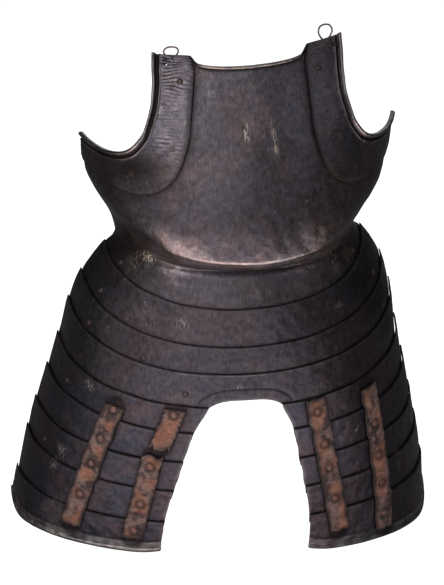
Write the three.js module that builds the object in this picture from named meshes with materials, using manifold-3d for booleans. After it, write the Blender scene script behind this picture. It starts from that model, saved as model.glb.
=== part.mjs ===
// A worn steel breastplate with its fauld and a pair of tassets, hung up by two wire loops.
//
// Millimetres, +Z up. The front faces -Y and +X is the wearer's left. The origin is midway between the
// tops of the shoulders, where the piece hangs. Left and right in the names are the wearer's.
//
// The whole front is one smooth form, described by hoops that run from one side edge round the front
// to the other. Each plate is a stretch of that form with a wall of its own. Every lame lies outside
// the one above it, so its upper edge shows.

import * as THREE from 'three';
import { mergeVertices } from 'three/addons/utils/BufferGeometryUtils.js';
import Module from 'manifold-3d';

// Plate, and how one plate laps over the next.
const PLATE_WALL = 1.8;
const PLATE_AIR = 0.8;
const GUSSET_AIR = 1;
const LAP = 12;
const LAP_TUCK = 3;

// Drops below the shoulder tops, at the side edges and on the front centre line.
const BREAST_SIDE_DROP = 115;
const BREAST_FRONT_DROP = 172;
const RIM_SIDE_DROP = 198;
const RIM_FRONT_DROP = 252;
const WAIST_SIDE_DROP = 237;
const WAIST_FRONT_DROP = 269;
const HIP_SIDE_DROP = 369;
const HIP_FRONT_DROP = 438;
const HEM_SIDE_DROP = 611;
const HEM_FRONT_DROP = 640;

// Half widths across the side edges.
const SHOULDER_HALF_WIDTH = 140;
const BREAST_HALF_WIDTH = 193;
const RIM_HALF_WIDTH = 164.5;
const WAIST_HALF_WIDTH = 148.5;
const HIP_HALF_WIDTH = 212;
const HEM_HALF_WIDTH = 266;

// How far the front stands forward, and how far the side edges wrap back.
const SHOULDER_REACH = 70;
const BREAST_REACH = 140;
const RIM_REACH = 149;
const WAIST_REACH = 123;
const HIP_REACH = 146;
const HEM_REACH = 113;
const HIP_WRAP = 15;
const HEM_WRAP = 46;

// The old piece hangs a little askew: its hoops drift sideways on the way down, and one shoulder is
// higher than the other.
const SHOULDER_LEAN = 9;
const BREAST_LEAN = 4;
const RIM_LEAN = 0;
const WAIST_LEAN = -1;
const HIP_LEAN = -7;
const HEM_LEAN = -15;
const SHOULDER_TILT = 0.09;

// Squareness of a hoop: 2 is an ellipse, more is boxier at the sides.
const CHEST_SQUARE = 2.0;
const HIP_SQUARE = 2.15;

// How far a hoop turns from the front to its side edge, in degrees. Less than a right angle leaves the
// flanks facing a little forward.
const BREAST_TURN = 76;
const FULL_TURN = 90;

// Rolled edges, each a half round bead along an edge.
const NECK_ROLL_WIDTH = 8;
const NECK_ROLL_HEIGHT = 4;
const ARM_ROLL_WIDTH = 6;
const ARM_ROLL_HEIGHT = 4;
const HEM_ROLL_WIDTH = 5;
const HEM_ROLL_HEIGHT = 2;

// The arch between the tassets, and how far their inner edges spread from the arch to the hem.
const ARCH_HALF_WIDTH = 46;
const ARCH_LAP_RUN = 14;
const TASSET_SPREAD = 49;
const HEM_OUTER_CORNER = 20;
const HEM_INNER_CORNER = 6;

// Leather straps over the tassets.
const STRAP_WIDTH = 27;
const STRAP_WALL = 2.6;
const STRAP_SEAT = 0.5;

// Wire loops on the shoulders and the holes that they pass through.
const LOOP_WIRE = 2.2;
const LOOP_HEIGHT = 12;
const LOOP_HOLE = 3.8;
const LOOP_HOLE_SPACING = 8;
const LOOP_HOLE_DROP = 5;
const HANG_HOLE = 4;

// Rivets.
const RIVET_SEAT = 0.45;
const RIVET_REACH = 20;
const PLATE_RIVET_RADIUS = 4;
const PLATE_RIVET_HEIGHT = 2;
const STRAP_RIVET_RADIUS = 5;
const STRAP_RIVET_HEIGHT = 2.4;

// The six main hoops. Every other hoop is a share of the way between two of them.
const MAIN_HOOPS = {
  shoulder: {
    side: 0, front: 0,
    width: SHOULDER_HALF_WIDTH, reach: SHOULDER_REACH, wrap: 0,
    lean: SHOULDER_LEAN, square: CHEST_SQUARE, turn: FULL_TURN,
  },
  breast: {
    side: BREAST_SIDE_DROP, front: BREAST_FRONT_DROP,
    width: BREAST_HALF_WIDTH, reach: BREAST_REACH, wrap: 0,
    lean: BREAST_LEAN, square: CHEST_SQUARE, turn: BREAST_TURN,
  },
  rim: {
    side: RIM_SIDE_DROP, front: RIM_FRONT_DROP,
    width: RIM_HALF_WIDTH, reach: RIM_REACH, wrap: 0,
    lean: RIM_LEAN, square: HIP_SQUARE, turn: BREAST_TURN,
  },
  waist: {
    side: WAIST_SIDE_DROP, front: WAIST_FRONT_DROP,
    width: WAIST_HALF_WIDTH, reach: WAIST_REACH, wrap: 0,
    lean: WAIST_LEAN, square: HIP_SQUARE, turn: FULL_TURN,
  },
  hip: {
    side: HIP_SIDE_DROP, front: HIP_FRONT_DROP,
    width: HIP_HALF_WIDTH, reach: HIP_REACH, wrap: HIP_WRAP,
    lean: HIP_LEAN, square: HIP_SQUARE, turn: FULL_TURN,
  },
  hem: {
    side: HEM_SIDE_DROP, front: HEM_FRONT_DROP,
    width: HEM_HALF_WIDTH, reach: HEM_REACH, wrap: HEM_WRAP,
    lean: HEM_LEAN, square: HIP_SQUARE, turn: FULL_TURN,
  },
};

// Shares of the way from one main hoop to the next, from the top down. tilt is a share of SHOULDER_TILT.
// The hoops from fauld_1 on lie where the upper edge of the lame of that name shows.
const HOOP_ROWS = [
  {
    name: 'above', from: 'shoulder', to: 'breast',
    side: -0.12, front: -0.08, width: -0.167, reach: -0.124, tilt: 1.05,
  },
  {
    name: 'shoulder', from: 'shoulder', to: 'breast',
    side: 0, front: 0, width: 0, reach: 0, tilt: 0.95,
  },
  {
    name: 'neck', from: 'shoulder', to: 'breast',
    side: 0.171, front: 0.122, width: 0.167, reach: 0.203, tilt: 0.7,
  },
  {
    name: 'upper', from: 'shoulder', to: 'breast',
    side: 0.391, front: 0.331, width: 0.538, reach: 0.451, tilt: 0.55,
  },
  {
    name: 'chest', from: 'shoulder', to: 'breast',
    side: 0.711, front: 0.65, width: 0.9, reach: 0.762, tilt: 0.5,
  },
  {
    name: 'breast', from: 'breast', to: 'rim',
    side: 0, front: 0, width: 0, reach: 0, tilt: 0.4,
  },
  {
    name: 'belly', from: 'breast', to: 'rim',
    side: 0.48, front: 0.625, width: 0.16, reach: 0.889, tilt: 0.2,
  },
  {
    name: 'rim', from: 'rim', to: 'waist',
    side: 0, front: 0, width: 0, reach: 0, tilt: 0.1,
  },
  {
    name: 'tuck_1', from: 'rim', to: 'waist',
    side: 0.28, front: 0.32, width: 0.39, reach: 0.19, tilt: 0.1,
  },
  {
    name: 'tuck_2', from: 'rim', to: 'waist',
    side: 0.64, front: 0.68, width: 0.77, reach: 0.58, tilt: 0.1,
  },
  {
    name: 'waist', from: 'waist', to: 'hip',
    side: 0, front: 0, width: 0, reach: 0, tilt: 0.14,
  },
  {
    name: 'flare', from: 'waist', to: 'hip',
    side: 0.04, front: 0.05, width: 0.03, reach: 0.24, tilt: 0.2,
  },
  {
    name: 'fauld_1', from: 'waist', to: 'hip',
    side: 0.1, front: 0.275, width: 0.185, reach: 0.565, tilt: 0.35,
  },
  {
    name: 'fauld_2', from: 'waist', to: 'hip',
    side: 0.365, front: 0.55, width: 0.606, reach: 0.78, tilt: 0.33,
  },
  {
    name: 'fauld_3', from: 'waist', to: 'hip',
    side: 0.64, front: 0.75, width: 0.83, reach: 0.91, tilt: 0.26,
  },
  {
    name: 'tasset_1', from: 'hip', to: 'hem',
    side: 0, front: 0, width: 0, reach: 0, tilt: 0.2,
  },
  {
    name: 'tasset_2', from: 'hip', to: 'hem',
    side: 0.18, front: 0.17, width: 0.217, reach: 0.09, tilt: 0.1,
  },
  {
    name: 'tasset_3', from: 'hip', to: 'hem',
    side: 0.37, front: 0.366, width: 0.448, reach: 0.3, tilt: 0,
  },
  {
    name: 'tasset_4', from: 'hip', to: 'hem',
    side: 0.53, front: 0.562, width: 0.628, reach: 0.5, tilt: 0,
  },
  {
    name: 'tasset_5', from: 'hip', to: 'hem',
    side: 0.745, front: 0.762, width: 0.822, reach: 0.74, tilt: 0.1,
  },
  {
    name: 'hem', from: 'hip', to: 'hem',
    side: 1, front: 1, width: 1, reach: 1, tilt: -0.3,
  },
];

// The neck edge, from the centre out to the corner where the shoulder strip starts.
const NECK_EDGE = [
  { at: 1.97, around: 0 },
  { at: 1.94, around: 0.12 },
  { at: 1.88, around: 0.21 },
  { at: 1.74, around: 0.29 },
  { at: 1.3, around: 0.34 },
];

// The gusset along an arm opening, from the shoulder top round to the side edge: its rolled rim and
// its inner border.
const GUSSET_EDGES = [
  { rimAt: 1.12, rimAround: 0.614, borderAt: 1.3, borderAround: 0.34 },
  { rimAt: 2.0, rimAround: 0.587, borderAt: 2.1, borderAround: 0.312 },
  { rimAt: 2.7, rimAround: 0.54, borderAt: 2.9, borderAround: 0.298 },
  { rimAt: 3.3, rimAround: 0.518, borderAt: 3.7, borderAround: 0.294 },
  { rimAt: 3.78, rimAround: 0.53, borderAt: 4.35, borderAround: 0.328 },
  { rimAt: 4.12, rimAround: 0.572, borderAt: 4.85, borderAround: 0.39 },
  { rimAt: 4.38, rimAround: 0.632, borderAt: 5.27, borderAround: 0.5 },
  { rimAt: 4.56, rimAround: 0.72, borderAt: 5.48, borderAround: 0.63 },
  { rimAt: 4.67, rimAround: 0.83, borderAt: 5.57, borderAround: 0.8 },
  { rimAt: 4.76, rimAround: 1, borderAt: 5.71, borderAround: 1 },
];

// How far the breast plate's own arm edge lies in under the gusset, as a share of the gusset's width.
const ARM_EDGE_SHARE = 0.25;

// The inner edge of a tasset at the upper edge of each of its lames and at its hem, as shares of
// TASSET_SPREAD.
const TASSET_EDGE = [
  { spread: 0 },
  { spread: 0.35 },
  { spread: 0.56 },
  { spread: 0.76 },
  { spread: 0.94 },
  { spread: 1 },
];

// Straps, with where they run: station and share of the way round, at the top and at the bottom.
const STRAPS = [
  { name: 'strap_right_outer', top: 15.55, bottom: 19.5, topAround: -0.488, bottomAround: -0.549 },
  { name: 'strap_right_inner_upper', top: 15.15, bottom: 16.55, topAround: -0.243, bottomAround: -0.273 },
  { name: 'strap_right_inner_lower', top: 16.87, bottom: 19.55, topAround: -0.29, bottomAround: -0.311 },
  { name: 'strap_left_inner', top: 15.05, bottom: 19.56, topAround: 0.25, bottomAround: 0.318 },
  { name: 'strap_left_outer', top: 15.38, bottom: 19.8, topAround: 0.515, bottomAround: 0.514 },
];

// Rivets in the steel: the plate that each sits on, its station and its share of the way round.
const PLATE_RIVETS = [
  { name: 'rivet_gusset_right', on: 'gusset_right', at: 2.49, around: -0.381 },
  { name: 'rivet_gusset_left', on: 'gusset_left', at: 2.4, around: 0.378 },
  { name: 'rivet_shoulder_left', on: 'gusset_left', at: 1.62, around: 0.545 },
  { name: 'rivet_flange_right', on: 'breast_plate', at: 11.7, around: -0.774 },
  { name: 'rivet_flange_left', on: 'breast_plate', at: 11.6, around: 0.73 },
  { name: 'rivet_flange_front', on: 'breast_plate', at: 11.13, around: 0.313 },
  { name: 'rivet_fauld_1_right', on: 'fauld_lame_1', at: 12.74, around: -0.784 },
  { name: 'rivet_fauld_1_left', on: 'fauld_lame_1', at: 12.74, around: 0.784 },
  { name: 'rivet_fauld_2_right', on: 'fauld_lame_2', at: 13.76, around: -0.756 },
  { name: 'rivet_fauld_2_left', on: 'fauld_lame_2', at: 13.76, around: 0.756 },
  { name: 'rivet_fauld_2_front', on: 'fauld_lame_2', at: 13.83, around: -0.416 },
  { name: 'rivet_fauld_3_right', on: 'fauld_lame_3', at: 14.63, around: -0.216 },
  { name: 'rivet_fauld_3_left', on: 'fauld_lame_3', at: 14.78, around: 0.305 },
  { name: 'rivet_tasset_1_right', on: 'tasset_right_1', at: 15.65, around: -0.779 },
  { name: 'rivet_tasset_1_left', on: 'tasset_left_1', at: 15.28, around: 0.697 },
  { name: 'rivet_tasset_3_right', on: 'tasset_right_3', at: 17.69, around: -0.8 },
  { name: 'rivet_tasset_3_left', on: 'tasset_left_3', at: 17.69, around: 0.8 },
];

// Strap rivets: the stations at which each strap is riveted to a lame.
const STRAP_RIVETS = [
  { strap: 'strap_right_outer', stations: [15.66, 16.7, 17.58, 18.6] },
  { strap: 'strap_right_inner_upper', stations: [15.32] },
  { strap: 'strap_right_inner_lower', stations: [17.22, 18.5, 19.31] },
  { strap: 'strap_left_inner', stations: [15.5, 16.66, 17.5, 18.6] },
  { strap: 'strap_left_outer', stations: [16.6, 17.66, 18.62, 19.45] },
];

// Corners of the mesh along a full hoop, as shares of a half hoop: under the neck edge, under the
// shoulder strip and under the arm opening.
const NECK_FOOT = 0.33;
const SHOULDER_FOOT = 0.45;
const NECK_STEPS = 7;
const SHOULDER_STEPS = 3;
const ARM_STEPS = 9;
const TASSET_STEPS = 14;

const { DEG2RAD, lerp, smoothstep } = THREE.MathUtils;

const { MeshStandardMaterial } = THREE;
const finish = (color, roughness, metalness) => new MeshStandardMaterial({ color, roughness, metalness });
const blackSteel = () => finish(0x4a4648, 0.42, 0.9);
const gussetSteel = () => finish(0x5a5658, 0.45, 0.9);
const tassetSteel = () => finish(0x35353a, 0.48, 0.9);
const oldLeather = () => finish(0x7a4e3a, 0.8, 0);
const wornRivet = () => finish(0x8a7068, 0.5, 0.8);
const ironWire = () => finish(0x6e6a68, 0.5, 0.9);

// The slope of a smooth curve through three values that never swings past them.
function easySlope(before, here, after) {
  const rise = here - before;
  const next = after - here;
  return rise * next > 0 ? (2 * rise * next) / (rise + next) : 0;
}

// Every value of a table at a row number that may lie between two rows, on a cubic through the rows.
function rowBetween(rows, at) {
  const last = rows.length - 1;
  const low = Math.min(Math.max(Math.floor(at), 0), last - 1);
  const near = [low - 1, low, low + 1, low + 2].map((i) => rows[Math.min(Math.max(i, 0), last)]);
  const t = at - low;
  const t2 = t * t;
  const t3 = t2 * t;
  const result = {};
  for (const key of Object.keys(rows[0])) {
    const [a, b, c, d] = near.map((row) => row[key]);
    const slopeIn = low === 0 ? c - b : easySlope(a, b, c);
    const slopeOut = low === last - 1 ? c - b : easySlope(b, c, d);
    result[key] = (2 * t3 - 3 * t2 + 1) * b + (t3 - 2 * t2 + t) * slopeIn
      + (3 * t2 - 2 * t3) * c + (t3 - t2) * slopeOut;
  }
  return result;
}

const HOOPS = HOOP_ROWS.map((row) => {
  const from = MAIN_HOOPS[row.from];
  const to = MAIN_HOOPS[row.to];
  return {
    side: lerp(from.side, to.side, row.side),
    front: lerp(from.front, to.front, row.front),
    width: lerp(from.width, to.width, row.width),
    reach: lerp(from.reach, to.reach, row.reach),
    wrap: lerp(from.wrap, to.wrap, row.side),
    square: lerp(from.square, to.square, row.side),
    turn: lerp(from.turn, to.turn, row.side),
    lean: lerp(from.lean, to.lean, row.side),
    tilt: SHOULDER_TILT * row.tilt,
  };
});

// The station of a named hoop. Stations between whole numbers lie between two hoops.
function station(name) {
  return HOOP_ROWS.findIndex((row) => row.name === name);
}

// A point of the form. around runs from -1 at the right side edge, through 0 in front, to 1 at the left.
function formPoint(at, around) {
  const hoop = rowBetween(HOOPS, at);
  const turn = hoop.turn * DEG2RAD;
  const power = 2 / hoop.square;
  const edge = Math.max(Math.cos(turn), 0) ** power;
  const angle = Math.abs(around) * turn;
  const sideways = Math.sign(around) * (Math.sin(angle) / Math.sin(turn)) ** power;
  const forward = (Math.max(Math.cos(angle), 0) ** power - edge) / (1 - edge);
  const x = hoop.lean + hoop.width * sideways;
  const y = hoop.wrap - (hoop.reach + hoop.wrap) * forward;
  const z = hoop.tilt * x - lerp(hoop.side, hoop.front, forward);
  return new THREE.Vector3(x, y, z);
}

// The directions at a point of the form: across towards the wearer's left, down, and out of the form.
function formFrame(at, around) {
  const step = 0.01;
  const left = formPoint(at, Math.min(around + step, 1));
  const right = formPoint(at, Math.max(around - step, -1));
  const across = left.sub(right).normalize();
  const down = formPoint(at + step, around).sub(formPoint(at - step, around)).normalize();
  const out = down.clone().cross(across).normalize();
  return { across, down, out };
}

// A point that stands off the form by a given height.
function liftedPoint(at, around, height) {
  return formPoint(at, around).addScaledVector(formFrame(at, around).out, height);
}

// The outer and the inner point of a plate whose inner face stands off the form by lift.
function plateSkins(at, around, lift, wall) {
  return [liftedPoint(at, around, lift + wall), liftedPoint(at, around, lift)];
}

// How far round the front a place lies that is x millimetres out from the middle of its hoop.
function aroundAt(at, x) {
  const hoop = rowBetween(HOOPS, at);
  const turn = hoop.turn * DEG2RAD;
  const share = Math.min(Math.abs(x) / hoop.width, 1) ** (hoop.square / 2);
  return Math.sign(x) * Math.asin(share * Math.sin(turn)) / turn;
}

// The station that lies a given distance down the form from another one.
function stationBelow(at, around, distance) {
  const step = 0.2;
  return at + step * distance / formPoint(at, around).distanceTo(formPoint(at + step, around));
}

// A half round bead along an edge: its height at a distance from that edge.
function beadHeight(distance, width, height) {
  const share = (2 * distance - width) / width;
  return height * Math.sqrt(Math.max(0, 1 - share * share));
}

// A closed sheet over a grid of corners. corner(i, j) gives the outer and the inner point of one
// corner, with i running towards the wearer's left and j running down.
function sheetSolid(across, down, corner) {
  const points = [];
  for (let j = 0; j <= down; j += 1) {
    for (let i = 0; i <= across; i += 1) {
      const [outerPoint, innerPoint] = corner(i, j);
      points.push(...outerPoint.toArray(), ...innerPoint.toArray());
    }
  }
  const outer = (i, j) => 2 * (j * (across + 1) + i);
  const inner = (i, j) => outer(i, j) + 1;
  const index = [];
  const quad = (a, b, c, d) => index.push(a, b, c, a, c, d);
  for (let j = 0; j < down; j += 1) {
    for (let i = 0; i < across; i += 1) {
      quad(outer(i, j), outer(i, j + 1), outer(i + 1, j + 1), outer(i + 1, j));
      quad(inner(i, j), inner(i + 1, j), inner(i + 1, j + 1), inner(i, j + 1));
    }
    quad(outer(0, j + 1), outer(0, j), inner(0, j), inner(0, j + 1));
    quad(outer(across, j), outer(across, j + 1), inner(across, j + 1), inner(across, j));
  }
  for (let i = 0; i < across; i += 1) {
    quad(outer(i, 0), outer(i + 1, 0), inner(i + 1, 0), inner(i, 0));
    quad(outer(i + 1, down), outer(i, down), inner(i, down), inner(i + 1, down));
  }
  const geometry = new THREE.BufferGeometry();
  geometry.setAttribute('position', new THREE.Float32BufferAttribute(points, 3));
  geometry.setIndex(index);
  return geometry;
}

// Solids that are cut by others.
const wasm = await Module();
wasm.setup();

function toSolid(geometry) {
  const bare = geometry.clone();
  bare.deleteAttribute('normal');
  bare.deleteAttribute('uv');
  const merged = mergeVertices(bare);
  return new wasm.Manifold(new wasm.Mesh({
    numProp: 3,
    vertProperties: new Float32Array(merged.attributes.position.array),
    triVerts: new Uint32Array(merged.index.array),
  }));
}

function toGeometry(solid) {
  const mesh = solid.getMesh();
  const geometry = new THREE.BufferGeometry();
  geometry.setAttribute('position', new THREE.BufferAttribute(mesh.vertProperties, 3));
  geometry.setIndex(new THREE.BufferAttribute(mesh.triVerts, 1));
  return geometry;
}

function drilled(geometry, drills) {
  const cut = drills.reduce((solid, drill) => solid.subtract(toSolid(drill)), toSolid(geometry));
  return toGeometry(cut);
}

// Columns of a full hoop, from the right side edge to the left one. Each has its foot on the form
// below the arm openings and its head on the neck, shoulder or arm edge.
function halfColumns() {
  const columns = [];
  for (let i = 0; i <= NECK_STEPS; i += 1) {
    const share = i / NECK_STEPS;
    const head = rowBetween(NECK_EDGE, share * (NECK_EDGE.length - 1));
    const roll = 1 - smoothstep(share, 0.7, 0.92);
    columns.push({ foot: NECK_FOOT * share, at: head.at, around: head.around, roll });
  }
  const corner = columns[NECK_STEPS];
  const armHead = (row) => {
    const edges = rowBetween(GUSSET_EDGES, row);
    return {
      at: lerp(edges.rimAt, edges.borderAt, ARM_EDGE_SHARE),
      around: lerp(edges.rimAround, edges.borderAround, ARM_EDGE_SHARE),
    };
  };
  const outer = armHead(0);
  for (let i = 1; i <= SHOULDER_STEPS; i += 1) {
    const share = i / SHOULDER_STEPS;
    columns.push({
      foot: lerp(NECK_FOOT, SHOULDER_FOOT, share),
      at: lerp(corner.at, outer.at, share),
      around: lerp(corner.around, outer.around, share),
      roll: 0,
    });
  }
  for (let i = 1; i <= ARM_STEPS; i += 1) {
    const share = i / ARM_STEPS;
    const head = armHead(share * (GUSSET_EDGES.length - 1));
    columns.push({ foot: lerp(SHOULDER_FOOT, 1, share), at: head.at, around: head.around, roll: 0 });
  }
  return columns;
}

const HALF_COLUMNS = halfColumns();
const COLUMNS = [
  ...HALF_COLUMNS.slice(1).reverse().map((c) => ({ ...c, foot: -c.foot, around: -c.around })),
  ...HALF_COLUMNS,
];

// Where the columns of the breast plate reach their feet, below the arm openings.
const FOOT_STATION = 5.3;

// How the lift of a plate falls from its upper edge down: it starts outside the plate above and ends
// under the plate below, always one wall and the air between plates apart. The lapped end tucks in a
// little more.
function lameLift(first, at) {
  const lapped = Math.max(0, at - first - 1);
  return (PLATE_WALL + PLATE_AIR) * (1 - (at - first)) - LAP_TUCK * lapped;
}

function breastPlate() {
  const flangeEnd = station('fauld_1');
  const lapEnd = stationBelow(flangeEnd, 0, LAP);
  const rollRows = [0, 0.2, 0.6, 1].map((share) => share * NECK_ROLL_WIDTH);
  const plainRows = 4;
  const lower = [FOOT_STATION, 6, 6.5, 7, 7.6, 8.4, 9.2, 10, 10.5, 11, flangeEnd, lapEnd];
  const upperCount = rollRows.length + plainRows;
  const corner = (i, j) => {
    const column = COLUMNS[i];
    if (j >= upperCount) {
      const at = lower[j - upperCount + 1];
      return plateSkins(at, column.foot, at > flangeEnd ? lameLift(flangeEnd - 1, at) : 0, PLATE_WALL);
    }
    const length = formPoint(column.at, column.around).distanceTo(formPoint(FOOT_STATION, column.foot));
    const rollShare = Math.min(NECK_ROLL_WIDTH / length, 0.6);
    const share = j < rollRows.length
      ? rollShare * rollRows[j] / NECK_ROLL_WIDTH
      : lerp(rollShare, 1, (j - rollRows.length + 1) / plainRows);
    const at = lerp(column.at, FOOT_STATION, share);
    const around = lerp(column.around, column.foot, smoothstep(share, 0, 1));
    const rolled = j < rollRows.length;
    const bead = rolled ? beadHeight(rollRows[j], NECK_ROLL_WIDTH, NECK_ROLL_HEIGHT) * column.roll : 0;
    return plateSkins(at, around, 0, PLATE_WALL + bead);
  };
  return sheetSolid(COLUMNS.length - 1, upperCount + lower.length - 2, corner);
}

function gusset(side) {
  const rollStops = [0, 0.15, 0.5, 0.85, 1].map((share) => share * ARM_ROLL_WIDTH);
  const plainStops = 3;
  const steps = rollStops.length + plainStops - 1;
  const rounds = 18;
  const lift = PLATE_WALL + GUSSET_AIR;
  const corner = (i, j) => {
    const edges = rowBetween(GUSSET_EDGES, (GUSSET_EDGES.length - 1) * j / rounds);
    const stop = side > 0 ? steps - i : i;
    const rim = formPoint(edges.rimAt, edges.rimAround);
    const width = rim.distanceTo(formPoint(edges.borderAt, edges.borderAround));
    const distance = stop < rollStops.length
      ? rollStops[stop]
      : lerp(ARM_ROLL_WIDTH, width, (stop - rollStops.length + 1) / plainStops);
    const share = distance / width;
    const at = lerp(edges.rimAt, edges.borderAt, share);
    const around = side * lerp(edges.rimAround, edges.borderAround, share);
    const bead = beadHeight(distance, ARM_ROLL_WIDTH, ARM_ROLL_HEIGHT);
    return plateSkins(at, around, lift, PLATE_WALL + bead);
  };
  return sheetSolid(steps, rounds, corner);
}

// One of the upper two lames of the fauld, each a full hoop.
function fauldLame(first) {
  const rows = [first, first + 0.5, first + 1, stationBelow(first + 1, 0, LAP)];
  const corner = (i, j) => plateSkins(rows[j], COLUMNS[i].foot, lameLift(first, rows[j]), PLATE_WALL);
  return sheetSolid(COLUMNS.length - 1, rows.length - 1, corner);
}

// The lower edge of the arched lame: high in the middle, and lapped by the tassets at both sides.
const ARCH_TOP_STATION = 14.76;

function archStation(x) {
  const hip = station('tasset_1');
  const out = Math.abs(x) / ARCH_HALF_WIDTH;
  if (out <= 1) {
    return lerp(ARCH_TOP_STATION, hip, out ** 4);
  }
  const lapEnd = stationBelow(hip, 0, LAP);
  return lerp(hip, lapEnd, smoothstep(Math.abs(x) - ARCH_HALF_WIDTH, 0, ARCH_LAP_RUN));
}

function archLame() {
  const first = station('fauld_3');
  const hipShare = 0.86;
  const shares = [0, 0.45, hipShare, 1];
  const corner = (i, j) => {
    const around = COLUMNS[i].foot;
    const hip = station('tasset_1');
    const x = formPoint(hip, around).x - rowBetween(HOOPS, hip).lean;
    const free = lerp(first, archStation(x), shares[j]);
    const at = shares[j] === hipShare ? Math.min(free, hip) : free;
    return plateSkins(at, around, lameLift(first, at), PLATE_WALL);
  };
  return sheetSolid(COLUMNS.length - 1, shares.length - 1, corner);
}

// The share of the way round at which a tasset's inner edge lies.
function tassetEdge(at) {
  const row = rowBetween(TASSET_EDGE, at - station('tasset_1'));
  return aroundAt(at, ARCH_HALF_WIDTH + TASSET_SPREAD * row.spread);
}

// The hem's own line: its corners are rounded off.
function hemStation(share) {
  const hem = station('hem');
  const millimetre = 1 / formPoint(hem - 1, 0.5).distanceTo(formPoint(hem, 0.5));
  const outer = HEM_OUTER_CORNER * Math.max(0, (share - 0.7) / 0.3) ** 2;
  const inner = HEM_INNER_CORNER * Math.max(0, 1 - share / 0.12) ** 2;
  return hem - (outer + inner) * millimetre;
}

function tassetLame(side, first) {
  const hemmed = first === station('tasset_5');
  const plainEnd = hemmed ? 0 : stationBelow(first + 1, 0.5, LAP);
  const stops = [1, 0.5, 0].map((share) => share * HEM_ROLL_WIDTH);
  const down = hemmed ? stops.length + 1 : 2;
  const corner = (i, j) => {
    const share = (side > 0 ? i : TASSET_STEPS - i) / TASSET_STEPS;
    let at = [first, first + 1, plainEnd][j];
    let bead = 0;
    if (hemmed) {
      const edge = hemStation(share);
      const rolled = edge - (stationBelow(edge, 0.5, HEM_ROLL_WIDTH) - edge);
      at = j < 2 ? lerp(first, rolled, j / 2) : lerp(rolled, edge, (j - 2) / (stops.length - 1));
      bead = j < 2 ? 0 : beadHeight(stops[j - 2], HEM_ROLL_WIDTH, HEM_ROLL_HEIGHT);
    }
    const around = side * lerp(tassetEdge(at), 1, share);
    return plateSkins(at, around, lameLift(first, at), PLATE_WALL + bead);
  };
  return sheetSolid(TASSET_STEPS, down, corner);
}

// How high the outside of the tassets stands off the form, and the inside of a strap over them. The
// strap climbs to the next lame before it reaches its edge.
function tassetTop(at) {
  return lameLift(Math.floor(at), at) + PLATE_WALL;
}

const STRAP_CLIMB_START = 0.84;

function strapLift(at) {
  const first = Math.floor(at);
  const share = at - first;
  const top = tassetTop(first);
  const low = tassetTop(first + Math.min(share, STRAP_CLIMB_START));
  const climb = Math.max(0, share - STRAP_CLIMB_START) / (1 - STRAP_CLIMB_START);
  return lerp(low, top, climb) + STRAP_SEAT;
}

// The middle of a strap at a station, as a share of the way round.
function strapAround(strap, at) {
  return lerp(strap.topAround, strap.bottomAround, (at - strap.top) / (strap.bottom - strap.top));
}

function strapSolid(strap) {
  const stations = [strap.top];
  for (let lame = Math.floor(strap.top); lame < strap.bottom; lame += 1) {
    for (const share of [0, STRAP_CLIMB_START / 2, STRAP_CLIMB_START]) {
      const at = lame + share;
      if (at > strap.top + 0.08 && at < strap.bottom - 0.08) {
        stations.push(at);
      }
    }
  }
  stations.push(strap.bottom);
  const across = 2;
  const corner = (i, j) => {
    const at = stations[j];
    const middle = strapAround(strap, at);
    const step = 0.01;
    const unit = formPoint(at, middle - step).distanceTo(formPoint(at, middle + step)) / (2 * step);
    const around = middle + (i / across - 0.5) * STRAP_WIDTH / unit;
    return plateSkins(at, around, strapLift(at), STRAP_WALL);
  };
  return sheetSolid(across, stations.length - 1, corner);
}

// A low domed rivet head, standing on its flat base.
function rivetHead(radius, height) {
  const profile = [
    new THREE.Vector2(0, 0),
    new THREE.Vector2(radius, 0),
    new THREE.Vector2(radius * 0.75, height * 0.75),
    new THREE.Vector2(0, height),
  ];
  return new THREE.LatheGeometry(profile, 8).rotateX(Math.PI / 2);
}

// Stands a rivet head on the facet of a plate that lies under a place on the form.
function standOn(head, plate, at, around) {
  const out = formFrame(at, around).out;
  const start = liftedPoint(at, around, RIVET_REACH);
  const [hit] = new THREE.Raycaster(start, out.negate(), 0, 2 * RIVET_REACH).intersectObject(plate);
  head.quaternion.setFromUnitVectors(new THREE.Vector3(0, 0, 1), hit.face.normal);
  head.position.copy(hit.point).addScaledVector(hit.face.normal, RIVET_SEAT);
}

// The station of the shoulder's top edge.
function shoulderTop(around) {
  const top = GUSSET_EDGES[0];
  const share = (Math.abs(around) - top.borderAround) / (top.rimAround - top.borderAround);
  return lerp(top.borderAt, top.rimAt, share);
}

// The two shoulder loops: their place along the shoulder, their half width and their height as a
// share of LOOP_HEIGHT. The left one is rounder and stands taller.
const LOOPS = {
  right: { around: -0.478, halfWidth: 9.5, rise: 1 },
  left: { around: 0.498, halfWidth: 10.5, rise: 1.5 },
};

// A point near a shoulder loop, from its own across, up and out distances.
function loopPoint(around, across, up, out) {
  const top = shoulderTop(around);
  const frame = formFrame(top, around);
  return formPoint(top, around)
    .addScaledVector(frame.across, across)
    .addScaledVector(frame.down, -up)
    .addScaledVector(frame.out, out);
}

const SHOULDER_STACK = 2 * PLATE_WALL + GUSSET_AIR;

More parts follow.
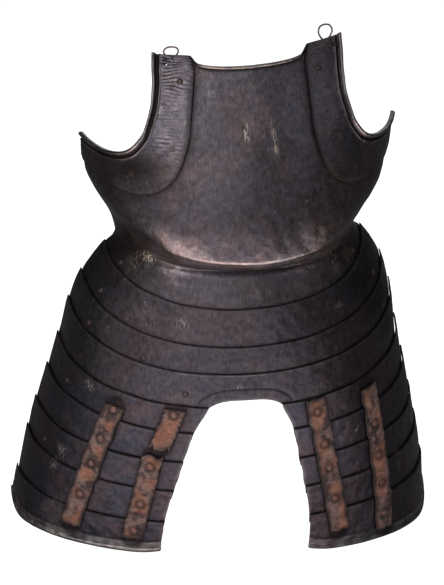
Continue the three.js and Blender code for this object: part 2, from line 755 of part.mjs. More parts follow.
// A wire loop that comes through two holes from the front, rises behind the shoulder and stands above it.
function shoulderLoop({ around, halfWidth, rise }) {
  const leg = LOOP_HOLE_SPACING / 2;
  const height = LOOP_HEIGHT * rise;
  const front = SHOULDER_STACK + LOOP_WIRE;
  const behind = -LOOP_WIRE * 1.1;
  const half = [
    [leg, -LOOP_HOLE_DROP, front],
    [leg, -LOOP_HOLE_DROP, SHOULDER_STACK / 2],
    [leg, -LOOP_HOLE_DROP, -0.3],
    [leg, -LOOP_HOLE_DROP * 0.55, behind],
    [leg, 0, behind],
    [leg * 1.4, height * 0.2, behind * 0.6],
    [halfWidth, height * 0.5, 0.5],
    [halfWidth * 0.74, height * 0.87, 1],
    [0, height, 1],
  ];
  const mirrored = half.slice(0, -1).reverse().map(([across, up, out]) => [-across, up, out]);
  const points = [...half, ...mirrored].map(([across, up, out]) => loopPoint(around, across, up, out));
  const path = new THREE.CatmullRomCurve3(points, false, 'centripetal');
  const section = new THREE.Shape().absarc(0, 0, LOOP_WIRE / 2, 0, Math.PI * 2);
  const options = { steps: 28, curveSegments: 3, bevelEnabled: false, extrudePath: path };
  return new THREE.ExtrudeGeometry(section, options);
}

// A drill through the shoulder plates at a place, along the way out of the form.
function drillAt(place, out, diameter) {
  const length = 6 * SHOULDER_STACK;
  const drill = new THREE.CylinderGeometry(diameter / 2, diameter / 2, length, 12);
  drill.applyQuaternion(new THREE.Quaternion().setFromUnitVectors(new THREE.Vector3(0, 1, 0), out));
  return drill.translate(place.x, place.y, place.z);
}

function loopDrills({ around }) {
  const out = formFrame(shoulderTop(around), around).out;
  return [-1, 1].map((leg) => (
    drillAt(loopPoint(around, leg * LOOP_HOLE_SPACING / 2, -LOOP_HOLE_DROP, 0), out, LOOP_HOLE)
  ));
}

// The one open hole in the right shoulder, through the gusset and the plate behind it.
const HANG_HOLE_AT = 1.76;
const HANG_HOLE_AROUND = -0.493;

function hangDrill() {
  const out = formFrame(HANG_HOLE_AT, HANG_HOLE_AROUND).out;
  return drillAt(formPoint(HANG_HOLE_AT, HANG_HOLE_AROUND), out, HANG_HOLE);
}

const armour = new THREE.Group();

function add(name, geometry, material) {
  geometry.deleteAttribute('normal');
  geometry.deleteAttribute('uv');
  const merged = mergeVertices(geometry);
  merged.computeVertexNormals();
  const mesh = new THREE.Mesh(merged, material);
  mesh.name = name;
  armour.add(mesh);
  return mesh;
}

const SIDES = [{ word: 'right', sign: -1 }, { word: 'left', sign: 1 }];

const DRILLS = {
  right: [...loopDrills(LOOPS.right), hangDrill()],
  left: loopDrills(LOOPS.left),
};
add('breast_plate', drilled(breastPlate(), [...DRILLS.right, ...DRILLS.left]), blackSteel());

for (const { word, sign } of SIDES) {
  add(`gusset_${word}`, drilled(gusset(sign), DRILLS[word]), gussetSteel());
  add(`shoulder_loop_${word}`, shoulderLoop(LOOPS[word]), ironWire());
}

add('fauld_lame_1', fauldLame(station('fauld_1')), blackSteel());
add('fauld_lame_2', fauldLame(station('fauld_2')), blackSteel());
add('fauld_lame_3', archLame(), blackSteel());

for (const { word, sign } of SIDES) {
  for (let lame = 1; lame <= 5; lame += 1) {
    add(`tasset_${word}_${lame}`, tassetLame(sign, station(`tasset_${lame}`)), tassetSteel());
  }
}

for (const strap of STRAPS) {
  add(strap.name, strapSolid(strap), oldLeather());
}

for (const { name, on, at, around } of PLATE_RIVETS) {
  const head = add(name, rivetHead(PLATE_RIVET_RADIUS, PLATE_RIVET_HEIGHT), wornRivet());
  standOn(head, armour.getObjectByName(on), at, around);
}

for (const { strap: name, stations } of STRAP_RIVETS) {
  const strap = STRAPS.find((entry) => entry.name === name);
  stations.forEach((at, i) => {
    const solid = rivetHead(STRAP_RIVET_RADIUS, STRAP_RIVET_HEIGHT);
    const head = add(`rivet_${name}_${i + 1}`, solid, wornRivet());
    standOn(head, armour.getObjectByName(name), at, strapAround(strap, at));
  });
}

export default armour;
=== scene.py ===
# %% [markdown]
# # A worn breastplate with its fauld and tassets
#
# Armour for the front of the body is a set of thin steel sheets. Each was hammered to shape over a stake and
# riveted to its neighbours, or to leather, so that the lower part could give. You build every sheet here as
# a surface worked out with numpy, on the same hoops as the solid model, and then give each a finish that
# starts from what the real one is made of.

import math

import bpy
import numpy as np
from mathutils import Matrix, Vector


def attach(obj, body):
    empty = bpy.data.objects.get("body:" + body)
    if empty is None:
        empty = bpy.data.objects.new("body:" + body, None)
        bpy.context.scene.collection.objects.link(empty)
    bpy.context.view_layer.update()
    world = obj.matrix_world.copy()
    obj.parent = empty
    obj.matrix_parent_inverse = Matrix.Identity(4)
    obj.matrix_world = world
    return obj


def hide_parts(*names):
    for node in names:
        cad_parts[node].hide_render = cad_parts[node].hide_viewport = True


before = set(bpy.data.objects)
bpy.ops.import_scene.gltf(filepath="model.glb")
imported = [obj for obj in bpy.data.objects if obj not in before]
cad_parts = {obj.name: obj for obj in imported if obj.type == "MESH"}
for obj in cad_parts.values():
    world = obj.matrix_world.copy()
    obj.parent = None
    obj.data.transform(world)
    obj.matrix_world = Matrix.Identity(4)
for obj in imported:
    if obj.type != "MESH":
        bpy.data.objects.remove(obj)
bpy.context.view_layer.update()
MILLIMETRE = 0.001

# %% [markdown]
# ## The form
#
# All the plates follow one smooth body shape. It is a table of hoops from the shoulders to the hem: six main
# hoops hold real sizes, and every other hoop is a share of the way between two of them. You could sculpt the
# shape instead, but a table lets every plate, strap and rivet find its place on the same surface.

# %% Main hoops and the rows between them
# Drop at the side edge, drop in front, half width, reach forward, wrap back, lean sideways, squareness and
# turn in degrees from the front to the side edge. Lengths are in millimetres.
MAIN_HOOPS = {
    "shoulder": (0, 0, 140, 70, 0, 9, 2.0, 90),
    "breast": (115, 172, 193, 140, 0, 4, 2.0, 76),
    "rim": (198, 252, 164.5, 149, 0, 0, 2.15, 76),
    "waist": (237, 269, 148.5, 123, 0, -1, 2.15, 90),
    "hip": (369, 438, 212, 146, 15, -7, 2.15, 90),
    "hem": (611, 640, 266, 113, 46, -15, 2.15, 90),
}
SHOULDER_TILT = 0.09

# From, to, and the shares for side drop, front drop, width and reach, then the share of the tilt.
HOOP_ROWS = [
    ("shoulder", "breast", -0.12, -0.08, -0.167, -0.124, 1.05),
    ("shoulder", "breast", 0, 0, 0, 0, 0.95),
    ("shoulder", "breast", 0.171, 0.122, 0.167, 0.203, 0.7),
    ("shoulder", "breast", 0.391, 0.331, 0.538, 0.451, 0.55),
    ("shoulder", "breast", 0.711, 0.65, 0.9, 0.762, 0.5),
    ("breast", "rim", 0, 0, 0, 0, 0.4),
    ("breast", "rim", 0.48, 0.625, 0.16, 0.889, 0.2),
    ("rim", "waist", 0, 0, 0, 0, 0.1),
    ("rim", "waist", 0.28, 0.32, 0.39, 0.19, 0.1),
    ("rim", "waist", 0.64, 0.68, 0.77, 0.58, 0.1),
    ("waist", "hip", 0, 0, 0, 0, 0.14),
    ("waist", "hip", 0.04, 0.05, 0.03, 0.24, 0.2),
    ("waist", "hip", 0.1, 0.275, 0.185, 0.565, 0.35),
    ("waist", "hip", 0.365, 0.55, 0.606, 0.78, 0.33),
    ("waist", "hip", 0.64, 0.75, 0.83, 0.91, 0.26),
    ("hip", "hem", 0, 0, 0, 0, 0.2),
    ("hip", "hem", 0.18, 0.17, 0.217, 0.09, 0.1),
    ("hip", "hem", 0.37, 0.366, 0.448, 0.3, 0),
    ("hip", "hem", 0.53, 0.562, 0.628, 0.5, 0),
    ("hip", "hem", 0.745, 0.762, 0.822, 0.74, 0.1),
    ("hip", "hem", 1, 1, 1, 1, -0.3),
]


def hoop_table():
    """Each row is the start hoop plus its shares of the step to the end hoop, and its own tilt."""
    rows = []
    for start, end, side, front, width, reach, tilt in HOOP_ROWS:
        low = np.array(MAIN_HOOPS[start], float)
        high = np.array(MAIN_HOOPS[end], float)
        shares = np.array([side, front, width, reach, side, side, side, side])
        rows.append([*(low + (high - low) * shares), SHOULDER_TILT * tilt])
    return np.array(rows)


HOOPS = hoop_table()
# The rows, or stations, where the fauld and the tassets start and where the hem lies.
FAULD, HIP, HEM = 12, 15, 20
print("hoops", HOOPS.shape, "from", HOOPS[0, 1], "to", HOOPS[-1, 1], "mm down the front")

# %% [markdown]
# A number between two rows has to give a hoop between two hoops. A plain cubic through the rows swings past
# them where the body narrows, so the slope at each row is held back to the harmonic mean of its two steps.

# %% Read a table between its rows
def hermite(t, start, start_slope, end, end_slope):
    """The cubic that leaves the start and reaches the end with these slopes, while t goes from 0 to 1."""
    t2, t3 = t**2, t**3
    first_half = (2 * t3 - 3 * t2 + 1) * start + (t3 - 2 * t2 + t) * start_slope
    return first_half + (3 * t2 - 2 * t3) * end + (t3 - t2) * end_slope


def between(table, at):
    """A cubic from each row to the next. The slope at a row is 2ab / (a + b) for its steps a and b, and zero
    where the steps point opposite ways."""
    table = np.asarray(table, float)
    at = np.asarray(at, float)
    step = np.diff(table, axis=0)
    a, b = step[:-1], step[1:]
    same = a * b > 0
    inner = np.where(same, 2 * a * b / np.where(same, a + b, 1), 0)
    slope = np.concatenate([step[:1], inner, step[-1:]])
    low = np.clip(np.floor(at).astype(int), 0, len(table) - 2)
    return hermite((at - low)[..., None], table[low], slope[low], table[low + 1], slope[low + 1])


def lerp(low, high, share):
    """Low plus the share of the step to high."""
    return low + (high - low) * share


def smoothstep(value, low, high):
    """0 below low, 1 above high, and 3s² - 2s³ between."""
    share = np.clip((value - low) / (high - low), 0, 1)
    return share * share * (3 - 2 * share)


def unit(vectors):
    """Vectors divided by their length."""
    return vectors / np.linalg.norm(vectors, axis=-1, keepdims=True)


# %% Points and directions on the form
def form_point(at, around):
    """The point at a station, a share of the way round: -1 is the right side edge, 0 the front, 1 the left.
    Sideways goes as a power of the sine of the turn, forward as the same power of its cosine."""
    at, around = np.broadcast_arrays(np.asarray(at, float), np.asarray(around, float))
    side, front, width, reach, wrap, lean, square, turn, tilt = np.moveaxis(between(HOOPS, at), -1, 0)
    turn = np.radians(turn)
    power = 2 / square
    edge = np.maximum(np.cos(turn), 0) ** power
    angle = np.abs(around) * turn
    sideways = np.sign(around) * (np.sin(angle) / np.sin(turn)) ** power
    forward = (np.maximum(np.cos(angle), 0) ** power - edge) / (1 - edge)
    x = lean + width * sideways
    y = wrap - (reach + wrap) * forward
    z = tilt * x - lerp(side, front, forward)
    return np.stack([x, y, z], -1)


def form_frame(at, around):
    """Across, down and out at a point: differences of points a hundredth of a station apart, and the cross
    product of the two."""
    at, around = np.broadcast_arrays(np.asarray(at, float), np.asarray(around, float))
    left = form_point(at, np.minimum(around + 0.01, 1))
    right = form_point(at, np.maximum(around - 0.01, -1))
    across = unit(left - right)
    down = unit(form_point(at + 0.01, around) - form_point(at - 0.01, around))
    return across, down, unit(np.cross(down, across))


def lifted(at, around, height):
    """The point of the form plus the height along the way out."""
    return form_point(at, around) + form_frame(at, around)[2] * np.asarray(height, float)[..., None]


def station_length(at, around):
    """How many millimetres one station is long there: five times the length of a fifth of a station."""
    return 5 * np.linalg.norm(form_point(at + 0.2, around) - form_point(at, around), axis=-1)


def around_at(at, x):
    """The share of the way round that lies x millimetres out from the middle of a hoop."""
    _, _, width, _, _, _, square, turn, _ = np.moveaxis(between(HOOPS, at), -1, 0)
    turn = np.radians(turn)
    share = np.minimum(np.abs(x) / width, 1) ** (square / 2)
    return np.sign(x) * np.arcsin(share * np.sin(turn)) / turn


print("front of the belly", form_point(6, 0).round(1), "left hem corner", form_point(HEM, 1).round(1))

# %% [markdown]
# ## Relief and wear
#
# Hand work is never quite even: a hammered sheet has slow dents, and wear gathers on edges while dirt gathers
# in seams. Dents go into the mesh. Wear and dirt are numbers kept on each point, which the finishes read, so
# they sit exactly where the plates meet. The same numbers also carry painted shade in seams, in grooves and
# under rolls, and painted highlights along edges.

# %% Slow dents, beads and grooves
def ripple(points, seed, pitch, count=9):
    """A sum of sine waves in seeded directions, with wavelengths near the pitch, of about unit height."""
    chance = np.random.default_rng(seed)
    ways = unit(chance.normal(size=(count, 3)))
    waves = pitch * chance.uniform(0.7, 1.5, count)
    phases = chance.uniform(0, 2 * np.pi, count)
    return np.sin(2 * np.pi * (points @ ways.T) / waves + phases).sum(-1) * math.sqrt(2 / count)


def bead(distance, start, width, height):
    """A half round: height times the square root of 1 - s², where s runs from -1 to 1 over the width."""
    share = (2 * (distance - start) - width) / width
    return height * np.sqrt(np.clip(1 - share * share, 0, None))


def arc_uv(points):
    """Across: the length along each row from its middle. Down: the length along each column from its top."""
    steps_across = np.linalg.norm(np.diff(points, axis=1), axis=2)
    steps_down = np.linalg.norm(np.diff(points, axis=0), axis=2)
    across = np.pad(np.cumsum(steps_across, axis=1), ((0, 0), (1, 0)))
    down = np.pad(np.cumsum(steps_down, axis=0), ((1, 0), (0, 0)))
    across = across - across[:, [across.shape[1] // 2]]
    return np.stack([across, down], -1)


def edge_distances(points):
    """The lengths from each point to the top, bottom, first and last edge of its grid."""
    uv = arc_uv(points)
    across, down = uv[..., 0], uv[..., 1]
    return down, down[-1:] - down, across - across[:, :1], across[:, -1:] - across


def near(distance, reach):
    """1 at no distance, falling off as the exponential of the distance over the reach."""
    return np.exp(-np.maximum(distance, 0) / reach)


def line_distance(points, line):
    """The distance from each point to the nearest corner of a line, worked out for one row at a time."""
    return np.stack([np.linalg.norm(row[:, None] - line[None], axis=-1).min(1) for row in points])


# %% [markdown]
# The old surface also has its own marks: pale scratches, rusty patches, a few rubbed streaks, and broad
# dark patches down the flanks and in the tuck under the belly, partly grime and partly painted shade. Each is
# an oval on the form, and a point's number is high inside the oval. The finish breaks the oval up with noise.

# %% Marks on the old surface
# For each kind: station, share of the way round, half size across and down in millimetres, strength.
MARKS = {
    "rust": [
        (2.4, 0.378, 10, 8, 0.9), (4.14, 0.099, 7, 8, 0.7), (4.98, -0.611, 12, 10, 0.5),
        (5.18, 0.27, 30, 22, 0.35), (12.5, 0.446, 9, 9, 0.8), (13.44, -0.637, 5, 9, 0.8),
        (14.52, -0.308, 3.5, 15, 0.9), (18.2, 0.633, 7, 24, 0.7), (19.1, 0.623, 9, 18, 0.7),
        (19.2, 0.45, 20, 14, 0.35), (19.32, -0.63, 26, 26, 0.9),
    ],
    "scratch": [
        (9.9, -0.563, 10, 9, 0.9), (11.28, 0.514, 10, 18, 0.35), (11.3, -0.68, 12, 16, 0.35),
        (11.4, 0.66, 12, 14, 0.3), (12.5, -0.3, 14, 8, 0.5), (15.29, -0.647, 10, 6, 1.0),
        (17.6, -0.672, 8, 9, 1.0), (18.15, -0.7, 6, 9, 1.0),
    ],
    "streak": [
        (3.75, -0.034, 4, 13, 1.0), (3.9, 0.1, 3.5, 22, 0.8), (14.37, -0.025, 2.5, 2.5, 0.8),
        (16.54, 0.423, 6, 4, 0.8),
    ],
    # Dark patches on the flanks and under the belly: partly grime, partly painted shade.
    "grime_and_shade": [
        (4.95, -0.68, 60, 20, 0.9), (5.75, 0.8, 60, 16, 0.6), (5.8, -0.72, 60, 12, 0.5),
        (7.2, 0.82, 36, 44, 0.6), (9.3, -0.7, 46, 22, 1.0), (9.3, 0.66, 50, 22, 1.0),
        (10.6, -0.84, 46, 30, 0.95), (10.9, 0.62, 40, 26, 0.85), (11.3, 0.8, 64, 40, 1.0),
        (11.6, -0.92, 50, 24, 0.8), (12.5, 0.74, 64, 24, 0.9), (12.7, -0.95, 44, 24, 0.6),
        (13.5, 0.8, 60, 24, 0.85), (14.5, 0.86, 56, 24, 0.75), (16.2, 0.86, 60, 60, 0.5),
    ],
}
# How far off its plane, in millimetres, a mark still shows.
MARK_DEPTH = 25


def mark_masks(points):
    """For each kind, the largest of strength times exp(-(a² + d²)²) over its marks, where a and d are the
    lengths across and down from the middle of the mark over its half sizes."""
    masks = {kind: np.zeros(points.shape[:-1]) for kind in MARKS}
    for kind, marks in MARKS.items():
        for at, around, half_across, half_down, strength in marks:
            across, down, out = form_frame(at, around)
            offset = points - form_point(at, around)
            oval = (offset @ across / half_across) ** 2 + (offset @ down / half_down) ** 2
            depth = np.exp(-((offset @ out / MARK_DEPTH) ** 4))
            masks[kind] = np.maximum(masks[kind], strength * depth * np.exp(-(oval**2)))
    return masks


print("marks", {kind: len(marks) for kind, marks in MARKS.items()})

# %% [markdown]
# ## A sheet with rounded edges
#
# Real plate is cut with shears and filed, so its edge is slightly round and catches the light. A flat strip
# between the two skins would look sharp, so you close each sheet with a half round made of rings.

# %% Build a closed sheet
def add_mesh(name, points, faces, uv=None, values=None, sharp=50):
    """Puts points in millimetres and faces of equal size into a mesh object, with its map and its numbers."""
    mesh = bpy.data.meshes.new(name)
    corners = faces.shape[1]
    mesh.vertices.add(len(points))
    mesh.vertices.foreach_set("co", (points * MILLIMETRE).astype(np.float32).ravel())
    mesh.loops.add(faces.size)
    mesh.loops.foreach_set("vertex_index", faces.astype(np.int32).ravel())
    mesh.polygons.add(len(faces))
    mesh.polygons.foreach_set("loop_start", np.arange(0, faces.size, corners, dtype=np.int32))
    mesh.update(calc_edges=True)
    if uv is not None:
        layer = mesh.uv_layers.new(name="UVMap")
        layer.data.foreach_set("uv", (uv * MILLIMETRE)[faces.ravel()].astype(np.float32).ravel())
    for key, value in (values or {}).items():
        numbers = mesh.attributes.new(key, "FLOAT", "POINT")
        numbers.data.foreach_set("value", value.astype(np.float32).ravel())
    mesh.validate()
    mesh.shade_smooth()
    mesh.set_sharp_from_angle(angle=math.radians(sharp))
    piece = bpy.data.objects.new(name, mesh)
    bpy.context.scene.collection.objects.link(piece)
    return piece


MASKS = ("edge", "shade_and_dirt", *MARKS)
# How far each ring of a rounded edge has gone over to the inside's finish.
RIM_INSIDE = (0.0, 0.3, 0.7)
RIM_RINGS = len(RIM_INSIDE)


def rounded_sheet(name, outer, inner, values, bulge=0.8):
    """Two skins on one grid, and rings between their edges. A ring point is the middle of the wall, plus the
    half wall times the cosine, plus the way off the sheet times the sine and the bulge."""
    rows, cols = outer.shape[:2]
    grid = np.arange(rows * cols).reshape(rows, cols)
    loop = np.concatenate([grid[0, :-1], grid[:-1, -1], grid[-1, :0:-1], grid[:0:-1, 0]])
    middle = (outer + inner) / 2
    away = np.zeros_like(outer)
    away[0] += unit(middle[0] - middle[1])
    away[-1] += unit(middle[-1] - middle[-2])
    away[:, 0] += unit(middle[:, 0] - middle[:, 1])
    away[:, -1] += unit(middle[:, -1] - middle[:, -2])
    half = ((outer - inner) / 2).reshape(-1, 3)[loop]
    radius = np.linalg.norm(half, axis=-1, keepdims=True) * bulge
    base = middle.reshape(-1, 3)[loop]
    off = unit(away.reshape(-1, 3)[loop])
    angles = np.pi * np.arange(1, RIM_RINGS + 1) / (RIM_RINGS + 1)
    rings = [base + half * math.cos(angle) + off * radius * math.sin(angle) for angle in angles]
    points = np.concatenate([outer.reshape(-1, 3), inner.reshape(-1, 3), *rings])

    a, b = grid[:-1, :-1], grid[1:, :-1]
    c, d = grid[1:, 1:], grid[:-1, 1:]
    outside = np.stack([a, b, c, d], -1).reshape(-1, 4)
    inside = np.stack([a, d, c, b], -1).reshape(-1, 4) + grid.size
    starts = 2 * grid.size + len(loop) * np.arange(RIM_RINGS)
    hoops = [loop, *[start + np.arange(len(loop)) for start in starts], loop + grid.size]
    strips = [
        np.stack([here, np.roll(here, -1), np.roll(there, -1), there], -1)
        for here, there in zip(hoops[:-1], hoops[1:])
    ]
    faces = np.concatenate([outside, inside, *strips])

    uv = arc_uv(outer).reshape(-1, 2)
    uv = np.concatenate([uv, uv, *[uv[loop]] * RIM_RINGS])
    columns = {}
    for key in MASKS:
        value = values.get(key, np.zeros((rows, cols))).ravel()
        columns[key] = np.concatenate([value, value * 0, *[value[loop]] * RIM_RINGS])
    inside_share = [np.zeros(grid.size), np.ones(grid.size), np.repeat(RIM_INSIDE, len(loop))]
    columns["inside"] = np.concatenate(inside_share)
    return add_mesh(name, points, faces, uv, columns)


def steps(length, fine, coarse):
    """Shares from 0 to 1 that start and end with a fine step, and are at most a coarse step apart between."""
    count = max(3, int(math.ceil(length / coarse)))
    inner = np.linspace(fine / length, 1 - fine / length, count)
    return np.concatenate([[0], inner, [1]])


print("rings on an edge", RIM_RINGS, "numbers on each point", MASKS)

# %% [markdown]
# ## The finishes
#
# Each finish starts from the real stuff and how it was worked. One small function adds a node, sets it and
# links it. Another turns a colour as you see it on a screen into the linear one that light needs.

# %% Node and colour helpers
def node(tree, kind, sockets=None, out=0, **settings):
    """Adds one node, sets its properties, sets or links its sockets, and returns one of its outputs."""
    made = tree.nodes.new(kind)
    for key, value in settings.items():
        setattr(made, key, value)
    for key, value in (sockets or {}).items():
        if isinstance(value, bpy.types.NodeSocket):
            tree.links.new(value, made.inputs[key])
        else:
            made.inputs[key].default_value = value
    return made.outputs[out] if made.outputs else None


def colour(text):
    """A screen colour such as #8a5a3c as linear red, green, blue and full opacity."""
    value = np.array([int(text[i : i + 2], 16) for i in (1, 3, 5)]) / 255
    linear = np.where(value <= 0.04045, value / 12.92, ((value + 0.055) / 1.055) ** 2.4)
    return (*linear.tolist(), 1.0)


def new_material(name):
    """An empty node material and its tree."""
    material = bpy.data.materials.new(name)
    material.use_nodes = True
    material.node_tree.nodes.clear()
    return material, material.node_tree


# %% [markdown]
# ### Blackened steel
#
# Forged plate steel, left dark from the hammer and the fire, then oiled and handled for centuries. It is a
# bare metal under a thin dark oxide: metallic, with a low reflection between brown and slate, a satin
# roughness near 0.35, shallow dents from the hammer about a centimetre apart, and fine polishing strokes that
# run with the plate. Edges are lighter, partly rubbed bright and partly a painted highlight. Seams, grooves,
# the flanks and the tuck under the belly are darker, partly dirt and partly painted shade. Rust is a dull,
# rough, non-metal crust.

# %% The blackened steel finish
def blackened_steel(name, dark, warm, cool, roughness, strokes, dents):
    """A finish from three oxide colours, mixed by clouds and patches, with wear, dirt, painted shade and
    painted highlights laid over them.
    """
    material, tree = new_material(name)
    place = node(tree, "ShaderNodeTexCoord", out="Object")
    surface = node(tree, "ShaderNodeUVMap", uv_map="UVMap")
    mask = {
        key: node(tree, "ShaderNodeAttribute", out="Fac", attribute_name=key)
        for key in (*MASKS, "inside")
    }

    # Repeats in a metre, from real sizes: clouds of 70 mm, patches of 20, rust grains of 8, forge scale of 7.
    noises = []
    for scale, detail, fine in ((14, 4, 0.6), (50, 6, 0.65), (120, 7, 0.7), (150, 5, 0.7)):
        sockets = {"Vector": place, "Scale": scale, "Detail": detail, "Roughness": fine}
        noises.append(node(tree, "ShaderNodeTexNoise", sockets))
    cloud, patch, crust, mottle = noises
    # Polishing strokes are 11 mm long and 2 mm apart, drawn as coarse as they need to show.
    along = node(tree, "ShaderNodeMapping", {"Vector": surface, "Scale": (420, 90, 1)})
    brushed = node(tree, "ShaderNodeTexNoise", {"Vector": along, "Scale": 1, "Detail": 3, "Roughness": 0.55})

    warmth = node(
        tree, "ShaderNodeMapRange", {"Value": cloud, "From Min": 0.42, "From Max": 0.62},
        interpolation_type="SMOOTHSTEP",
    )
    coolness = node(
        tree, "ShaderNodeMapRange", {"Value": patch, "From Min": 0.47, "From Max": 0.72, "To Max": 0.8}
    )
    tone = colour(dark)
    for share, over in ((warmth, warm), (coolness, cool)):
        tone = node(tree, "ShaderNodeMix", {0: share, 6: tone, 7: colour(over)}, out=2, data_type="RGBA")
    depth = node(
        tree, "ShaderNodeMapRange",
        {"Value": mottle, "From Min": 0.32, "From Max": 0.68, "To Min": 0.7, "To Max": 1.3},
    )
    contrast = 0.35 * strokes
    stroke = node(
        tree, "ShaderNodeMapRange",
        {"Value": brushed, "From Min": 0.3, "From Max": 0.7, "To Min": 1 - contrast, "To Max": 1 + contrast},
    )
    value = node(tree, "ShaderNodeMath", {0: depth, 1: stroke}, operation="MULTIPLY")
    tone = node(tree, "ShaderNodeVectorMath", {0: tone, 3: value}, operation="SCALE")

    # Lighter edges, partly worn and partly a painted highlight; dark patches and seam lines, partly dirt and
    # partly painted shade; scored strokes 1 mm apart, and pale smears.
    breakup = node(tree, "ShaderNodeMapRange", {"Value": patch, "From Min": 0.4, "From Max": 0.6, "To Min": 0.15})
    brightened = node(tree, "ShaderNodeMath", {0: mask["edge"], 1: breakup}, operation="MULTIPLY")

    dark_patches = node(
        tree, "ShaderNodeMapRange",
        {"Value": patch, "From Min": 0.3, "From Max": 0.6, "To Min": 1.0, "To Max": 0.8},
    )
    dark_patches = node(tree, "ShaderNodeMath", {0: dark_patches, 1: mask["grime_and_shade"]}, operation="MULTIPLY")
    darkening = node(tree, "ShaderNodeMath", {0: mask["shade_and_dirt"], 1: 0.9}, operation="MULTIPLY")
    darkening = node(tree, "ShaderNodeMath", {0: darkening, 1: dark_patches}, operation="MAXIMUM")

    scored = node(
        tree, "ShaderNodeMapping", {"Vector": surface, "Rotation": (0, 0, 0.35), "Scale": (900, 110, 1)}
    )
    score = node(tree, "ShaderNodeTexNoise", {"Vector": scored, "Scale": 1, "Detail": 2})
    score = node(tree, "ShaderNodeMapRange", {"Value": score, "From Min": 0.53, "From Max": 0.61})
    scratch = node(tree, "ShaderNodeMath", {0: score, 1: mask["scratch"]}, operation="MULTIPLY")

    smear = node(tree, "ShaderNodeMapRange", {"Value": brushed, "From Min": 0.47, "From Max": 0.56})
    pale = node(tree, "ShaderNodeMath", {0: smear, 1: mask["streak"]}, operation="MULTIPLY")

    # Rust blooms where its mask is high, and elsewhere shows as small spots.
    spots = node(
        tree, "ShaderNodeMapRange", {"Value": crust, "From Min": 0.64, "From Max": 0.74, "To Max": 0.4}
    )
    bloom = node(tree, "ShaderNodeMath", {0: crust, 1: 3.0, 2: mask["rust"]}, operation="MULTIPLY_ADD")
    bloom = node(
        tree, "ShaderNodeMapRange", {"Value": bloom, "From Min": 2.05, "From Max": 2.7, "To Max": 0.8}
    )
    rust = node(tree, "ShaderNodeMath", {0: bloom, 1: spots}, operation="MAXIMUM")
    ochre = node(
        tree, "ShaderNodeMix", {0: patch, 6: colour("#221816"), 7: colour("#5a3c35")}, out=2, data_type="RGBA"
    )

    # The light edge colour is wear plus painted highlight; the near-black is dirt plus painted shade.
    for share, over in (
        (brightened, colour("#a39c96")), (darkening, colour("#181313")), (scratch, colour("#c8bdb4")),
        (pale, colour("#a89a92")), (rust, ochre), (mask["inside"], colour("#30251f")),
    ):
        tone = node(tree, "ShaderNodeMix", {0: share, 6: tone, 7: over}, out=2, data_type="RGBA")

    # Rust and the inside are less metallic, and with the dark places of dirt and painted shade they are
    # rougher.
    metal = node(tree, "ShaderNodeMath", {0: 1.0, 1: rust}, operation="SUBTRACT")
    metal = node(
        tree, "ShaderNodeMath", {0: mask["inside"], 1: -0.6, 2: metal},
        operation="MULTIPLY_ADD", use_clamp=True,
    )
    smooth, coarse = roughness - 0.07, roughness + 0.1
    rough = node(
        tree, "ShaderNodeMapRange",
        {"Value": patch, "From Min": 0.3, "From Max": 0.7, "To Min": smooth, "To Max": coarse},
    )
    for share, rise in ((rust, 0.35), (darkening, 0.25), (mask["inside"], 0.25)):
        rough = node(tree, "ShaderNodeMath", {0: share, 1: rise, 2: rough}, operation="MULTIPLY_ADD")
    rough = node(tree, "ShaderNodeMath", {0: rough, 1: 1.0}, operation="MINIMUM")

    # Hollows of the hammer, 12 mm apart, then the strokes, the scale and the rust as finer relief.
    hollow = node(
        tree, "ShaderNodeTexVoronoi", {"Vector": place, "Scale": 85, "Smoothness": 1.0}, feature="SMOOTH_F1"
    )
    sockets = {"Height": hollow, "Distance": 0.002 * dents, "Strength": 0.6}
    normal = node(tree, "ShaderNodeBump", sockets, out="Normal")
    finer = ((brushed, 0.0004 * strokes, 0.5), (mottle, 0.0007, 0.7), (rust, 0.0005, 0.7))
    for height, distance, strength in finer:
        sockets = {"Height": height, "Distance": distance, "Strength": strength, "Normal": normal}
        normal = node(tree, "ShaderNodeBump", sockets, out="Normal")
    shader = node(
        tree, "ShaderNodeBsdfPrincipled",
        {"Base Color": tone, "Metallic": metal, "Roughness": rough, "Normal": normal},
    )
    node(tree, "ShaderNodeOutputMaterial", {"Surface": shader})
    return material


PLATE_STEEL = blackened_steel("blackened_plate_steel", "#504b50", "#594e50", "#494852", 0.33, 0.55, 0.45)
# The gusset steel's colours are a little darker than the plate steel's: painted shade that tones down the
# brightly lit gussets.
GUSSET_STEEL = blackened_steel("hammered_gusset_steel", "#4c484d", "#554d4f", "#474550", 0.36, 0.3, 0.5)
TASSET_STEEL = blackened_steel("blackened_tasset_steel", "#4e4b52", "#5a4c4e", "#454552", 0.36, 0.3, 0.6)
print("steel finishes", [finish.name for finish in (PLATE_STEEL, GUSSET_STEEL, TASSET_STEEL)])

# %% [markdown]
# ### Old leather
#
# Vegetable-tanned hide, cut in strips, dried out and cracked by age. It is a dull non-metal with an IOR near
# 1.5 and a roughness near 0.75. The skin has gone dark brown and its rubbed places a dusty red brown, with
# grain a millimetre or two wide and cracks across the strip, where it bent over every lame.

